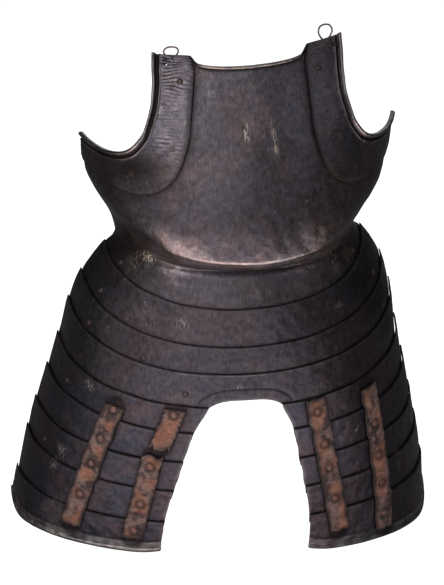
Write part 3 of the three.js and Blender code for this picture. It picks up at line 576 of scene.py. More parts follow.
# %% The leather finish
def old_leather(name):
    """Brown hide with rubbed reddish places, cross cracks and fine grain, with painted shade along the edges
    and in a ring round each rivet.
    """
    material, tree = new_material(name)
    place = node(tree, "ShaderNodeTexCoord", out="Object")
    surface = node(tree, "ShaderNodeUVMap", uv_map="UVMap")
    mask = {
        key: node(tree, "ShaderNodeAttribute", out="Fac", attribute_name=key)
        for key in ("edge", "shade_and_dirt", "rust")
    }
    # Repeats in a metre: blotches of 14 mm, grain of 1.5 mm, and cracks 9 mm long and 4 mm apart.
    blotch = node(tree, "ShaderNodeTexNoise", {"Vector": place, "Scale": 70, "Detail": 5, "Roughness": 0.65})
    grain = node(tree, "ShaderNodeTexNoise", {"Vector": place, "Scale": 650, "Detail": 3, "Roughness": 0.6})
    across = node(tree, "ShaderNodeMapping", {"Vector": surface, "Scale": (110, 260, 1)})
    crease = node(tree, "ShaderNodeTexNoise", {"Vector": across, "Scale": 1, "Detail": 4, "Distortion": 0.8})

    rubbed = node(
        tree, "ShaderNodeMapRange", {"Value": blotch, "From Min": 0.4, "From Max": 0.6},
        interpolation_type="SMOOTHSTEP",
    )
    raw = node(tree, "ShaderNodeMath", {0: mask["rust"], 1: 0.7}, operation="MULTIPLY")
    tone = colour("#3c2b29")
    for share, over in ((rubbed, "#7d625b"), (raw, "#94614a")):
        tone = node(tree, "ShaderNodeMix", {0: share, 6: tone, 7: colour(over)}, out=2, data_type="RGBA")
    shade = node(
        tree, "ShaderNodeMapRange",
        {"Value": crease, "From Min": 0.3, "From Max": 0.65, "To Min": 0.6, "To Max": 1.2},
    )
    tone = node(tree, "ShaderNodeVectorMath", {0: tone, 3: shade}, operation="SCALE")
    # Painted shade: a dark ring where each rivet pulls the leather in, and a dark rim along the strap's
    # edges, partly its darkened cut edge.
    rim = node(tree, "ShaderNodeMath", {0: mask["edge"], 1: 0.95}, operation="MULTIPLY")
    for share, over in ((mask["shade_and_dirt"], "#231813"), (rim, "#2a1c18")):
        tone = node(tree, "ShaderNodeMix", {0: share, 6: tone, 7: colour(over)}, out=2, data_type="RGBA")
    rough = node(tree, "ShaderNodeMapRange", {"Value": blotch, "To Min": 0.62, "To Max": 0.86})

    sockets = {"Height": crease, "Distance": 0.0012, "Strength": 0.7}
    normal = node(tree, "ShaderNodeBump", sockets, out="Normal")
    sockets = {"Height": grain, "Distance": 0.0005, "Strength": 0.6, "Normal": normal}
    normal = node(tree, "ShaderNodeBump", sockets, out="Normal")
    sockets = {"Base Color": tone, "Roughness": rough, "IOR": 1.5, "Normal": normal}
    shader = node(tree, "ShaderNodeBsdfPrincipled", sockets)
    node(tree, "ShaderNodeOutputMaterial", {"Surface": shader})
    return material


STRAP_LEATHER = old_leather("dried_strap_leather")

# %% [markdown]
# ### Rivets and wire
#
# Rivets are soft iron, hammered over by hand. Their crowns are lighter, partly rubbed to a pinkish grey and
# partly a painted highlight, and the foot is darker, partly dirt and partly painted shade. The loops are
# drawn iron wire, smoother and a little brighter, with the same brown bloom.

# %% The iron finishes
def hammered_iron(name, crown, foot, roughness, rusting):
    """Iron that is lighter towards the crown and darker towards the foot, wear and dirt with painted
    highlight and painted shade, and brown in patches.
    """
    material, tree = new_material(name)
    place = node(tree, "ShaderNodeTexCoord", out="Object")
    top = node(tree, "ShaderNodeAttribute", out="Fac", attribute_name="crown")
    # Repeats in a metre: pits of 2.4 mm and patches of 17 mm.
    patch = node(tree, "ShaderNodeTexNoise", {"Vector": place, "Scale": 420, "Detail": 5, "Roughness": 0.65})
    broad = node(tree, "ShaderNodeTexNoise", {"Vector": place, "Scale": 60, "Detail": 2})
    # Lighter towards the crown and darker towards the foot: wear and dirt, with painted highlight and painted
    # shade.
    tone = node(tree, "ShaderNodeMix", {0: top, 6: colour(foot), 7: colour(crown)}, out=2, data_type="RGBA")
    shade = node(
        tree, "ShaderNodeMapRange",
        {"Value": patch, "From Min": 0.3, "From Max": 0.7, "To Min": 0.6, "To Max": 1.3},
    )
    tone = node(tree, "ShaderNodeVectorMath", {0: tone, 3: shade}, operation="SCALE")
    rust = node(tree, "ShaderNodeMath", {0: broad, 1: patch}, operation="ADD")
    rust = node(
        tree, "ShaderNodeMapRange", {"Value": rust, "From Min": 0.85, "From Max": 1.15, "To Max": rusting}
    )
    tone = node(tree, "ShaderNodeMix", {0: rust, 6: tone, 7: colour("#7a4a34")}, out=2, data_type="RGBA")
    metal = node(tree, "ShaderNodeMath", {0: 1.0, 1: rust}, operation="SUBTRACT")
    smooth, coarse = roughness - 0.08, roughness + 0.2
    rough = node(tree, "ShaderNodeMapRange", {"Value": patch, "To Min": smooth, "To Max": coarse})
    sockets = {"Height": patch, "Distance": 0.0006, "Strength": 0.6}
    normal = node(tree, "ShaderNodeBump", sockets, out="Normal")
    shader = node(
        tree, "ShaderNodeBsdfPrincipled",
        {"Base Color": tone, "Metallic": metal, "Roughness": rough, "Normal": normal},
    )
    node(tree, "ShaderNodeOutputMaterial", {"Surface": shader})
    return material


RIVET_IRON = hammered_iron("hammered_rivet_iron", "#8c7068", "#3c2c27", 0.5, 0.6)
PLATE_IRON = hammered_iron("blackened_rivet_iron", "#524b4d", "#302a29", 0.48, 0.15)
LOOP_WIRE = hammered_iron("drawn_iron_wire", "#7c7674", "#5a5452", 0.38, 0.4)
print("other finishes", [finish.name for finish in (STRAP_LEATHER, RIVET_IRON, PLATE_IRON, LOOP_WIRE)])


# %% Put a piece in place of its node
PIECES = {}


def settle(piece, material, replaced):
    """Gives a piece its finish, lets it stand for a node of the frame, and keeps it under that name."""
    piece.data.materials.append(material)
    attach(piece, "root")
    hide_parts(replaced)
    PIECES[replaced] = piece


# %% [markdown]
# ## The breast plate
#
# One sheet from the neck to the flange under the waist. Its top edge follows the neck, the shoulders and the
# arm openings, so the grid's columns start on that edge and run down to full hoops below the arms. At the
# neck the edge is turned over into a roll, which stops a blade and stiffens the sheet.

# %% Columns of the breast plate
# Wall of the steel, air between lames and under a gusset, length of a lap and how far its end tucks in.
WALL, AIR, GUSSET_AIR, LAP, TUCK = 1.8, 0.8, 1.0, 12.0, 3.0
# Width and height of each rolled edge.
NECK_ROLL, ARM_ROLL, HEM_ROLL = (8, 4), (6, 4), (5, 2)
# The columns end at the first full hoop below the arms, and the plate bends out into its flange here.
FOOT_STATION, FLANGE_STATION = 5.3, 11.2

# Station and share of the way round along the neck, from the front to the shoulder.
NECK_EDGE = np.array([[1.97, 0], [1.94, 0.12], [1.88, 0.21], [1.74, 0.29], [1.3, 0.34]])
# Station and share of the rolled rim, then of the border, from the shoulder to the side edge.
GUSSET_EDGES = np.array([
    [1.12, 0.614, 1.3, 0.34], [2.0, 0.587, 2.1, 0.312], [2.7, 0.54, 2.9, 0.298], [3.3, 0.518, 3.7, 0.294],
    [3.78, 0.53, 4.35, 0.328], [4.12, 0.572, 4.85, 0.39], [4.38, 0.632, 5.27, 0.5], [4.56, 0.72, 5.48, 0.63],
    [4.67, 0.83, 5.57, 0.8], [4.76, 1, 5.71, 1],
])


def half_columns(neck_steps=46, shoulder_steps=10, arm_steps=66):
    """Foot, head station, head share and roll of each column from the front to the side edge. The head goes
    along the neck edge, then straight over the shoulder, then a quarter of the way in under the gusset."""
    neck = np.linspace(0, 1, neck_steps + 1)
    shoulder = np.linspace(0, 1, shoulder_steps + 1)[1:]
    arm = np.linspace(0, 1, arm_steps + 1)[1:]
    neck_head = between(NECK_EDGE, neck * (len(NECK_EDGE) - 1))
    edges = between(GUSSET_EDGES, np.append(0, arm) * (len(GUSSET_EDGES) - 1))
    arm_head = lerp(edges[:, :2], edges[:, 2:], 0.25)
    shoulder_head = lerp(neck_head[-1], arm_head[0], shoulder[:, None])
    heads = np.concatenate([neck_head, shoulder_head, arm_head[1:]])
    foot = np.concatenate([0.33 * neck, lerp(0.33, 0.45, shoulder), lerp(0.45, 1, arm)])
    roll = np.concatenate([1 - smoothstep(neck, 0.7, 0.92), 0 * shoulder, 0 * arm])
    return foot, heads[:, 0], heads[:, 1], roll


def whole_columns():
    """The half columns, mirrored so that they run from the right side edge to the left one."""
    signs = (-1, 1, -1, 1)
    return [np.concatenate([sign * half[:0:-1], half]) for sign, half in zip(signs, half_columns())]


FOOT, HEAD_AT, HEAD_AROUND, HEAD_ROLL = whole_columns()
print("columns", len(FOOT))


# %% Where each gusset's border lies
def gusset_line(side, share, count=260):
    """A line of points along a gusset, at a share of the way from its rolled rim to its border."""
    edges = between(GUSSET_EDGES, np.linspace(0, len(GUSSET_EDGES) - 1, count))
    place = lerp(edges[:, :2], edges[:, 2:], share)
    return lifted(place[:, 0], side * place[:, 1], np.full(count, WALL))


GUSSET_BORDERS = np.concatenate([gusset_line(-1, 1), gusset_line(1, 1)])


# %% The breast plate's sheet
def lame_lift(first, at):
    """How far a lame stands off the form. It falls by one wall and the air between plates over its length,
    and its lapped end tucks in a little more."""
    return (WALL + AIR) * (1 - (at - first)) - TUCK * np.maximum(0, at - first - 1)


def breast_sheet():
    """Upper block: each column eases from its head to its foot. Lower block: full hoops down to the lap."""
    width, height = NECK_ROLL
    angle = np.linspace(0, np.pi, 13)
    rolled = (1 - np.cos(angle)) / 2
    length = np.linalg.norm(form_point(HEAD_AT, HEAD_AROUND) - form_point(FOOT_STATION, FOOT), axis=-1)
    share_of_roll = np.minimum(width / length, 0.6)
    plain = np.linspace(0, 1, 66)[1:]
    share = np.concatenate([rolled[:, None] * share_of_roll, lerp(share_of_roll, 1, plain[:, None])])
    beads = np.zeros_like(share)
    beads[: len(rolled)] = height * np.sin(angle)[:, None] * HEAD_ROLL
    at = lerp(HEAD_AT, FOOT_STATION, share)
    around = lerp(HEAD_AROUND, FOOT, smoothstep(share, 0, 1))

    lap_end = FAULD + LAP / station_length(FAULD, 0)
    spans = ((FOOT_STATION, 6.5, 14), (6.5, 8, 18), (8, FLANGE_STATION, 26), (FLANGE_STATION, FAULD, 12))
    full = [np.linspace(start, end, count)[1:] for start, end, count in spans]
    stations = np.concatenate([*full, [lerp(FAULD, lap_end, 0.5), lap_end]])
    low_at = np.repeat(stations[:, None], len(FOOT), axis=1)
    at = np.concatenate([at, low_at])
    around = np.concatenate([around, np.repeat(FOOT[None], len(stations), axis=0)])
    beads = np.concatenate([beads, np.zeros_like(low_at)])
    return at, around, beads


def breast_plate():
    """The skins stand off the form by the lap's tuck, the dents and, outside, the wall and the roll."""
    at, around, beads = breast_sheet()
    base = form_point(at, around)
    dents = 0.45 * ripple(base, 11, 75) + 0.1 * ripple(base, 12, 17)
    calm = smoothstep(at, 1.4, 2.4) * (1 - smoothstep(at, 11.3, 11.9))
    lift = np.where(at > FAULD, lame_lift(FAULD - 1, at), 0) + dents * calm
    outer = lifted(at, around, lift + WALL + beads)
    inner = lifted(at, around, lift + 0.5 * beads)
    top, _, right, left = edge_distances(outer)
    to_border = line_distance(outer, GUSSET_BORDERS)
    to_lame = (FAULD - at) * station_length(at, around)
    values = mark_masks(base)
    # Painted shadow along the gussets' borders and under the neck roll, and a dark line at the lap, partly
    # dirt and partly painted shade.
    values["shade_and_dirt"] = np.maximum(near(to_border, 6.0), 0.8 * near(np.abs(to_lame), 2.0))
    values["shade_and_dirt"] = np.maximum(values["shade_and_dirt"], 0.95 * np.exp(-(((top - 10) / 2.8) ** 2)) * HEAD_ROLL)
    values["edge"] = np.maximum(0.8 * near(np.minimum(right, left), 1.6), 0.5 * (beads > 2.4) * (at < 2.2))
    return rounded_sheet("steel_breast_plate", outer, inner, values)


BREAST = breast_plate()
print("breast plate faces", len(BREAST.data.polygons))

# %% [markdown]
# ## The gussets
#
# A gusset is the crescent of steel that borders an arm opening. Its outer edge is rolled over like the neck,
# with a sunk line and a thin ridge beside the roll. The smith drew it out with the cross face of the
# hammer, which leaves shallow bands a few millimetres apart across it.

# %% The two gussets
def gusset_profile(distance, width):
    """Height over the plate: the roll, then the sunk line, then the ridge, and a filed-down border."""
    roll = bead(distance, 0, *ARM_ROLL)
    sunk = -0.9 * smoothstep(distance, 6, 7) * (1 - smoothstep(distance, 9.2, 10.4))
    ridge = bead(distance, 10.3, 2.6, 0.9)
    filed = -0.7 * smoothstep(distance, width - 7, width)
    return roll, sunk, ridge, filed


def gusset(side, bands, seed):
    """Rows run along the gusset and columns across it, at fixed distances from the rim and then by share."""
    along = np.linspace(0, 1, 250)
    edges = between(GUSSET_EDGES, along * (len(GUSSET_EDGES) - 1))
    rim = form_point(edges[:, 0], edges[:, 1])
    width = np.linalg.norm(rim - form_point(edges[:, 2], edges[:, 3]), axis=-1)[:, None]
    rolled = ARM_ROLL[0] * (1 - np.cos(np.linspace(0, np.pi, 11))) / 2
    fixed = np.concatenate([rolled, [6.5, 7, 8, 9.2, 9.8, 10.4], np.linspace(10.4, 12.8, 6)[1:]])
    plain = np.append(np.linspace(0, 1, 24)[1:-1], [0.985, 1])
    distance = np.concatenate([np.repeat(fixed[None], len(along), 0), lerp(12.8, width, plain[None])], axis=1)
    share = distance / width
    at = lerp(edges[:, [0]], edges[:, [2]], share)
    around = side * lerp(edges[:, [1]], edges[:, [3]], share)
    if side > 0:
        at, around, distance = at[:, ::-1], around[:, ::-1], distance[:, ::-1]
    base = form_point(at, around)
    roll, sunk, ridge, filed = gusset_profile(distance, width)
    length = arc_uv(base)[..., 1]
    wobble = 1.6 * ripple(base, seed, 26)
    strength = bands * (0.8 + 0.4 * ripple(base, seed + 1, 18)) * smoothstep(distance, 12, 15)
    hammered = strength * np.sin(2 * np.pi * length / 4.6 + wobble)
    dents = 0.25 * ripple(base, seed + 2, 60) * smoothstep(length, 6, 20)
    lift = WALL + GUSSET_AIR
    outer = lifted(at, around, lift + WALL + roll + sunk + ridge + filed + hammered + dents)
    inner = lifted(at, around, lift + 0.4 * roll + sunk + 0.3 * filed + dents)
    values = mark_masks(base)
    values["edge"] = np.maximum(0.5 * (roll > 3.3), 0.25 * (ridge > 0.5))
    # Painted shade in the sunk line beside the roll, and a painted shadow along the border.
    values["shade_and_dirt"] = 0.95 * smoothstep(distance, 5.4, 6.6) * (1 - smoothstep(distance, 9.4, 10.6))
    values["shade_and_dirt"] = np.maximum(values["shade_and_dirt"], near(width - distance, 2.0))
    return rounded_sheet("steel_gusset_" + ("left" if side > 0 else "right"), outer, inner, values)


GUSSETS = {"right": gusset(-1, 0.24, 21), "left": gusset(1, 0.07, 31)}
print("gusset faces", {side: len(piece.data.polygons) for side, piece in GUSSETS.items()})

# %% [markdown]
# ## Drilled holes
#
# The wire loops go through the gusset and the plate behind it, and one more hole stays open. A grid has no
# round holes, so a boolean with a drill is the plain way here. It is applied at once, and the drill goes.

# %% Loop places and drills
LOOP_SPACING, LOOP_DROP, LOOP_HOLE, HANG_HOLE = 8, 5, 3.8, 4
STACK = 2 * WALL + GUSSET_AIR
# Share of the way round, half width, and height over the shoulder.
LOOPS = {"right": (-0.478, 9.5, 12.0), "left": (0.498, 10.5, 18.0)}
# Station and share of the way round of the open hole.
HANG_PLACE = (1.76, -0.493)


def loop_points(around, offsets):
    """Points near a shoulder loop: the shoulder's top edge plus distances across, up and out."""
    neck_at, neck_around = NECK_EDGE[-1]
    arm_at, arm_around = GUSSET_EDGES[0, :2]
    at = lerp(neck_at, arm_at, (abs(around) - neck_around) / (arm_around - neck_around))
    across, down, out = form_frame(at, around)
    sideways, upwards, outwards = np.asarray(offsets, float).T[..., None]
    return form_point(at, around) + sideways * across - upwards * down + outwards * out, out


def drill(place, out, diameter, targets):
    """Cuts a round hole along the way out, through each target piece."""
    bpy.ops.mesh.primitive_cylinder_add(
        vertices=28, radius=diameter / 2 * MILLIMETRE, depth=0.04, location=place * MILLIMETRE,
        rotation=Vector(out).to_track_quat("Z", "Y").to_euler(),
    )
    bit = bpy.context.active_object
    for piece in targets:
        cut = piece.modifiers.new("hole", "BOOLEAN")
        cut.operation, cut.object, cut.solver = "DIFFERENCE", bit, "EXACT"
        with bpy.context.temp_override(object=piece, active_object=piece, selected_objects=[piece]):
            bpy.ops.object.modifier_apply(modifier=cut.name)
    bpy.data.objects.remove(bit)


for side, (around, _, _) in LOOPS.items():
    legs = [[-LOOP_SPACING / 2, -LOOP_DROP, 0], [LOOP_SPACING / 2, -LOOP_DROP, 0]]
    places, out = loop_points(around, legs)
    for place in places:
        drill(place, out, LOOP_HOLE, [BREAST, GUSSETS[side]])
drill(form_point(*HANG_PLACE), form_frame(*HANG_PLACE)[2], HANG_HOLE, [BREAST, GUSSETS["right"]])
print("breast plate faces after drilling", len(BREAST.data.polygons))

settle(BREAST, PLATE_STEEL, "breast_plate")
for side, piece in GUSSETS.items():
    settle(piece, GUSSET_STEEL, "gusset_" + side)

# %% [markdown]
# ## The fauld
#
# Three hoops of steel that widen from the waist to the hips, each lying outside the one above. The lowest is
# cut in an arch between the legs. Only a few of their rivets show, most of them at the sides, because the
# leathers that carry them are inside.

# %% Wobbly shear cuts
def shear_wobble(around, seed, size):
    """How far a cut edge strays from its line, in millimetres: four seeded sine waves along it."""
    chance = np.random.default_rng(seed)
    counts = chance.uniform(1.5, 9, 4)
    phases = chance.uniform(0, 2 * np.pi, 4)
    return size * np.sin(np.asarray(around)[..., None] * np.pi * counts + phases).sum(-1) / 2


# %% The two full lames
def lame_skins(at, around, first, dents, roll=0.0, engraved=0.0):
    """The outer skin is the form plus the lift, the wall, the dents and the roll, less the engraved line. The
    inner skin follows a little of it."""
    lift = lame_lift(first, at)
    outer = lifted(at, around, lift + WALL + dents + roll - 0.5 * engraved)
    return outer, lifted(at, around, lift + np.minimum(dents, 0.1) - 0.2 * engraved)


def lame_values(base, at, around, top, next_station):
    """A lighter line along the top edge, wear and painted highlight, and a dark line on both sides of every
    seam, dirt and painted shade.
    """
    values = mark_masks(base)
    below = (next_station - at) * station_length(at, around)
    values["edge"] = 0.5 * np.exp(-(((top - 1.6) / 0.8) ** 2))
    values["shade_and_dirt"] = np.maximum(0.9 * near(np.abs(below), 1.7), 0.95 * near(top, 0.8))
    return values


def full_lame(number, first, seed):
    """Rows run from the top edge to the lapped end, columns round the whole front."""
    around = np.linspace(-1, 1, 231)
    lap_end = first + 1 + LAP / station_length(first + 1, 0)
    rows = lerp(first, lap_end, steps(50, 0.7, 2.0))
    wobble = shear_wobble(around, seed, 0.35) / station_length(first, around)
    at = rows[:, None] + wobble * (1 - smoothstep(rows, first, first + 0.5))[:, None]
    around = np.broadcast_to(around, at.shape)
    base = form_point(at, around)
    dents = 0.2 * ripple(base, seed, 60) + 0.07 * ripple(base, seed + 1, 15)
    outer, inner = lame_skins(at, around, first, dents)
    top, _, right, left = edge_distances(outer)
    values = lame_values(base, at, around, top, first + 1)
    values["edge"] = np.maximum(values["edge"], 0.7 * near(np.minimum(right, left), 1.2))
    piece = rounded_sheet(f"steel_fauld_lame_{number}", outer, inner, values)
    settle(piece, PLATE_STEEL, f"fauld_lame_{number}")


full_lame(1, FAULD, 41)
full_lame(2, FAULD + 1, 43)
print("fauld lame faces", len(PIECES["fauld_lame_1"].data.polygons))

# %% [markdown]
# The arched lame carries both tassets. Its lower edge rises in the middle, and a shallow engraved line
# follows the arch a finger's breadth above it.

# %% The arched lame
ARCH_HALF_WIDTH, ARCH_RUN, ARCH_TOP = 46, 14, 14.76
HIP_MIDDLE = HOOPS[HIP, 5]


def arch_station(x):
    """The lower edge: the arch inside its half width, then an eased run down to the lapped end."""
    out = np.abs(x) / ARCH_HALF_WIDTH
    lap_end = HIP + LAP / station_length(HIP, 0)
    run = smoothstep(np.abs(x) - ARCH_HALF_WIDTH, 0, ARCH_RUN)
    return np.where(out <= 1, lerp(ARCH_TOP, HIP, np.minimum(out, 1) ** 4), lerp(HIP, lap_end, run))


def arched_lame():
    """Rows share the way from the top edge to the arch or the lap."""
    first = FAULD + 2
    around = np.sort(np.concatenate([np.linspace(-1, 1, 181), np.linspace(-0.33, 0.33, 71)]))
    around = around[np.append(True, np.diff(around) > 1e-4)]
    x = form_point(HIP, around)[:, 0] - HIP_MIDDLE
    low = arch_station(x)
    shares = steps(60, 0.7, 1.9)
    wobble = shear_wobble(around, 47, 0.35) / station_length(first, around)
    at = lerp(first, low, shares[:, None]) + wobble * (1 - smoothstep(shares, 0, 0.5))[:, None]
    around = np.broadcast_to(around, at.shape)
    base = form_point(at, around)
    arch_x = np.linspace(-ARCH_HALF_WIDTH, ARCH_HALF_WIDTH, 160)
    line = form_point(arch_station(arch_x), around_at(HIP, arch_x))
    to_arch = line_distance(base, line)
    engraved = np.exp(-(((to_arch - 13.5) / 0.9) ** 2)) * (np.abs(base[..., 0] - HIP_MIDDLE) < 62)
    dents = 0.2 * ripple(base, 48, 60) + 0.07 * ripple(base, 49, 15)
    outer, inner = lame_skins(at, around, first, dents, engraved=engraved)
    top, bottom, right, left = edge_distances(outer)
    values = lame_values(base, at, around, top, HIP)
    free = near(bottom, 1.3) * (np.abs(x) < ARCH_HALF_WIDTH)
    values["edge"] = np.maximum.reduce([values["edge"], 0.8 * free, 0.7 * near(np.minimum(right, left), 1.2)])
    # Inside the arch the top edge gets a dark line and the engraved line is darkened: dirt and painted shade.
    values["shade_and_dirt"] = np.where(np.abs(x) < ARCH_HALF_WIDTH, 0.95 * near(top, 0.9), values["shade_and_dirt"])
    values["shade_and_dirt"] = np.maximum(values["shade_and_dirt"], 0.8 * engraved)
    piece = rounded_sheet("steel_fauld_lame_3", outer, inner, values)
    settle(piece, PLATE_STEEL, "fauld_lame_3")


arched_lame()
print("arched lame faces", len(PIECES["fauld_lame_3"].data.polygons))

# %% [markdown]
# ## The tassets
#
# Each tasset is five lames on leather straps, hanging over a thigh. The top edges show. The inner edges
# stand free along the gap between the legs, each cut by hand, so they don't quite line up. The lowest lame
# ends in a small roll with an engraved line above it.

# %% Where the straps run
STRAP_WIDTH, STRAP_WALL, STRAP_SEAT, CLIMB_START = 25.5, 2.6, 0.4, 0.84

# Top and bottom station, share of the way round at the top and at the bottom.
STRAPS = {
    "strap_right_outer": (15.55, 19.5, -0.488, -0.549),
    "strap_right_inner_upper": (15.15, 16.55, -0.243, -0.273),
    "strap_right_inner_lower": (16.87, 19.55, -0.29, -0.311),
    "strap_left_inner": (15.05, 19.56, 0.25, 0.318),
    "strap_left_outer": (15.38, 19.8, 0.515, 0.514),
}
STRAP_RIVETS = {
    "strap_right_outer": (15.66, 16.7, 17.58, 18.6),
    "strap_right_inner_upper": (15.32,),
    "strap_right_inner_lower": (17.22, 18.5, 19.31),
    "strap_left_inner": (15.5, 16.66, 17.5, 18.6),
    "strap_left_outer": (16.6, 17.66, 18.62, 19.45),
}
# How jagged the top and bottom ends are, in millimetres: a cut end strays by about one, a torn end by more.
CUT_END, TORN_END = (0.9, 1.2), 3
TORN = {"strap_right_inner_upper": (0.2, 4.0), "strap_right_inner_lower": (3.2, 0.8)}


def strap_lift(at):
    """The inside of a strap: over the tasset's outside, climbing to the next lame before its edge."""
    share = at - np.floor(at)
    top = 2 * WALL + AIR
    low = (WALL + AIR) * (1 - np.minimum(share, CLIMB_START)) + WALL
    return lerp(low, top, smoothstep(share, CLIMB_START, 1)) + STRAP_SEAT


def strap_around(name, at):
    """The middle of a strap, a straight line in stations and shares."""
    top, bottom, top_around, bottom_around = STRAPS[name]
    return lerp(top_around, bottom_around, (at - top) / (bottom - top))


def strap_line(name):
    """Points down the middle of a strap."""
    at = np.linspace(*STRAPS[name][:2], 60)
    return form_point(at, strap_around(name, at))


STRAP_LINES = np.concatenate([strap_line(name) for name in STRAPS])

# %% Edges of a tasset
TASSET_SPREAD = 49
# About how many millimetres one station and one share of the way round measure on a tasset.
TASSET_STATION, TASSET_ROUND = 42, 300
# About how long the hem lame is from its top edge to the hem.
HEM_LENGTH = 53
# How far over the hem its engraved line runs.
HEM_LINE = 14.5
TASSET_EDGE = np.array([[0], [0.35], [0.56], [0.76], [0.94], [1.0]])


def tasset_edge(at):
    """The share of the way round of the inner edge at a station."""
    spread = between(TASSET_EDGE, at - HIP)[..., 0]
    return around_at(at, ARCH_HALF_WIDTH + TASSET_SPREAD * spread)


def hem_station(share):
    """The hem's own line: squared shares round off the outer and the inner corner."""
    millimetre = 1 / np.linalg.norm(form_point(HEM - 1, 0.5) - form_point(HEM, 0.5))
    outer = 20 * np.maximum(0, (share - 0.7) / 0.3) ** 2
    inner = 6 * np.maximum(0, 1 - share / 0.12) ** 2
    return HEM - (outer + inner) * millimetre


# %% The ten tasset lames
def hem_relief(base):
    """The roll along the hem, the engraved line over it, and the rubbed band between them."""
    down = arc_uv(base)[..., 1]
    to_hem = down[-1:] - down
    engraved = np.exp(-(((to_hem - HEM_LINE) / 0.9) ** 2))
    return bead(to_hem, 0, *HEM_ROLL), engraved, smoothstep(HEM_LINE - to_hem, 0, 1.5)


def tasset_lame(side, number):
    """Columns share the way from the inner edge to the side edge, rows the way from the top to the lap."""
    word = "left" if side > 0 else "right"
    first = HIP + number - 1
    seed = 60 + 10 * number + (5 if side > 0 else 0)
    share = steps(230, 0.7, 2.5)
    down = steps(52, 0.6, 1.9)
    hemmed = number == 5
    if hemmed:
        end = hem_station(share)
        rolled = 1 - HEM_ROLL[0] / HEM_LENGTH * (1 - np.cos(np.linspace(np.pi, 0, 9))) / 2
        down = np.concatenate([down[down < rolled[0] - 0.01], rolled])
    else:
        end = np.full_like(share, first + 1 + LAP / station_length(first + 1, 0.5))
    at = lerp(first, end[None], down[:, None])
    wobble = shear_wobble(share, seed, 0.5) / station_length(first, 0.5)
    at = at + wobble * (1 - smoothstep(down, 0, 0.5))[:, None]
    stray = shear_wobble(down[:, None] * 0.6, seed + 3, 0.3) + np.random.default_rng(seed).uniform(-0.3, 0.3)
    start = tasset_edge(at) + stray / TASSET_ROUND * (1 - share) ** 4
    around = side * lerp(start, 1, share)
    if side < 0:
        at, around = at[:, ::-1], around[:, ::-1]
    base = form_point(at, around)
    dents = 0.18 * ripple(base, seed, 55) + 0.07 * ripple(base, seed + 1, 14)
    roll, engraved, brightened = hem_relief(base) if hemmed else np.zeros((3, *at.shape))
    outer, inner = lame_skins(at, around, first, dents, roll, engraved)
    top, _, right, left = edge_distances(outer)
    values = lame_values(base, at, around, top, math.inf if hemmed else first + 1)
    sides = 0.7 * near(np.minimum(right, left), 1.3)
    values["edge"] = np.maximum.reduce([0.8 * values["edge"], sides, 0.6 * (roll > 1.5), 0.6 * brightened])
    # Painted shadow along both sides of each strap; the engraved hem line is darkened with dirt and painted
    # shade; a rust stain also runs along the straps.
    beside = line_distance(base, STRAP_LINES) - STRAP_WIDTH / 2
    values["shade_and_dirt"] = np.maximum.reduce([values["shade_and_dirt"], 0.7 * engraved, 0.75 * near(beside, 2.5)])
    values["rust"] = np.maximum(values["rust"], 0.45 * near(beside, 5))
    piece = rounded_sheet(f"steel_tasset_{word}_{number}", outer, inner, values)
    settle(piece, TASSET_STEEL, f"tasset_{word}_{number}")


for number in range(1, 6):
    tasset_lame(-1, number)
    tasset_lame(1, number)
print("tasset lame faces", [len(PIECES[f"tasset_left_{n}"].data.polygons) for n in range(1, 6)])

# %% [markdown]
# ## The straps
#
# Strips of leather are riveted over the lames and carry their weight. Old ones are wavy at the sides, ragged
# at the ends and pulled in round every rivet. One has torn through. A strip is a sheet like the plates, so
# the same builder closes it, with more bulge at the edge.

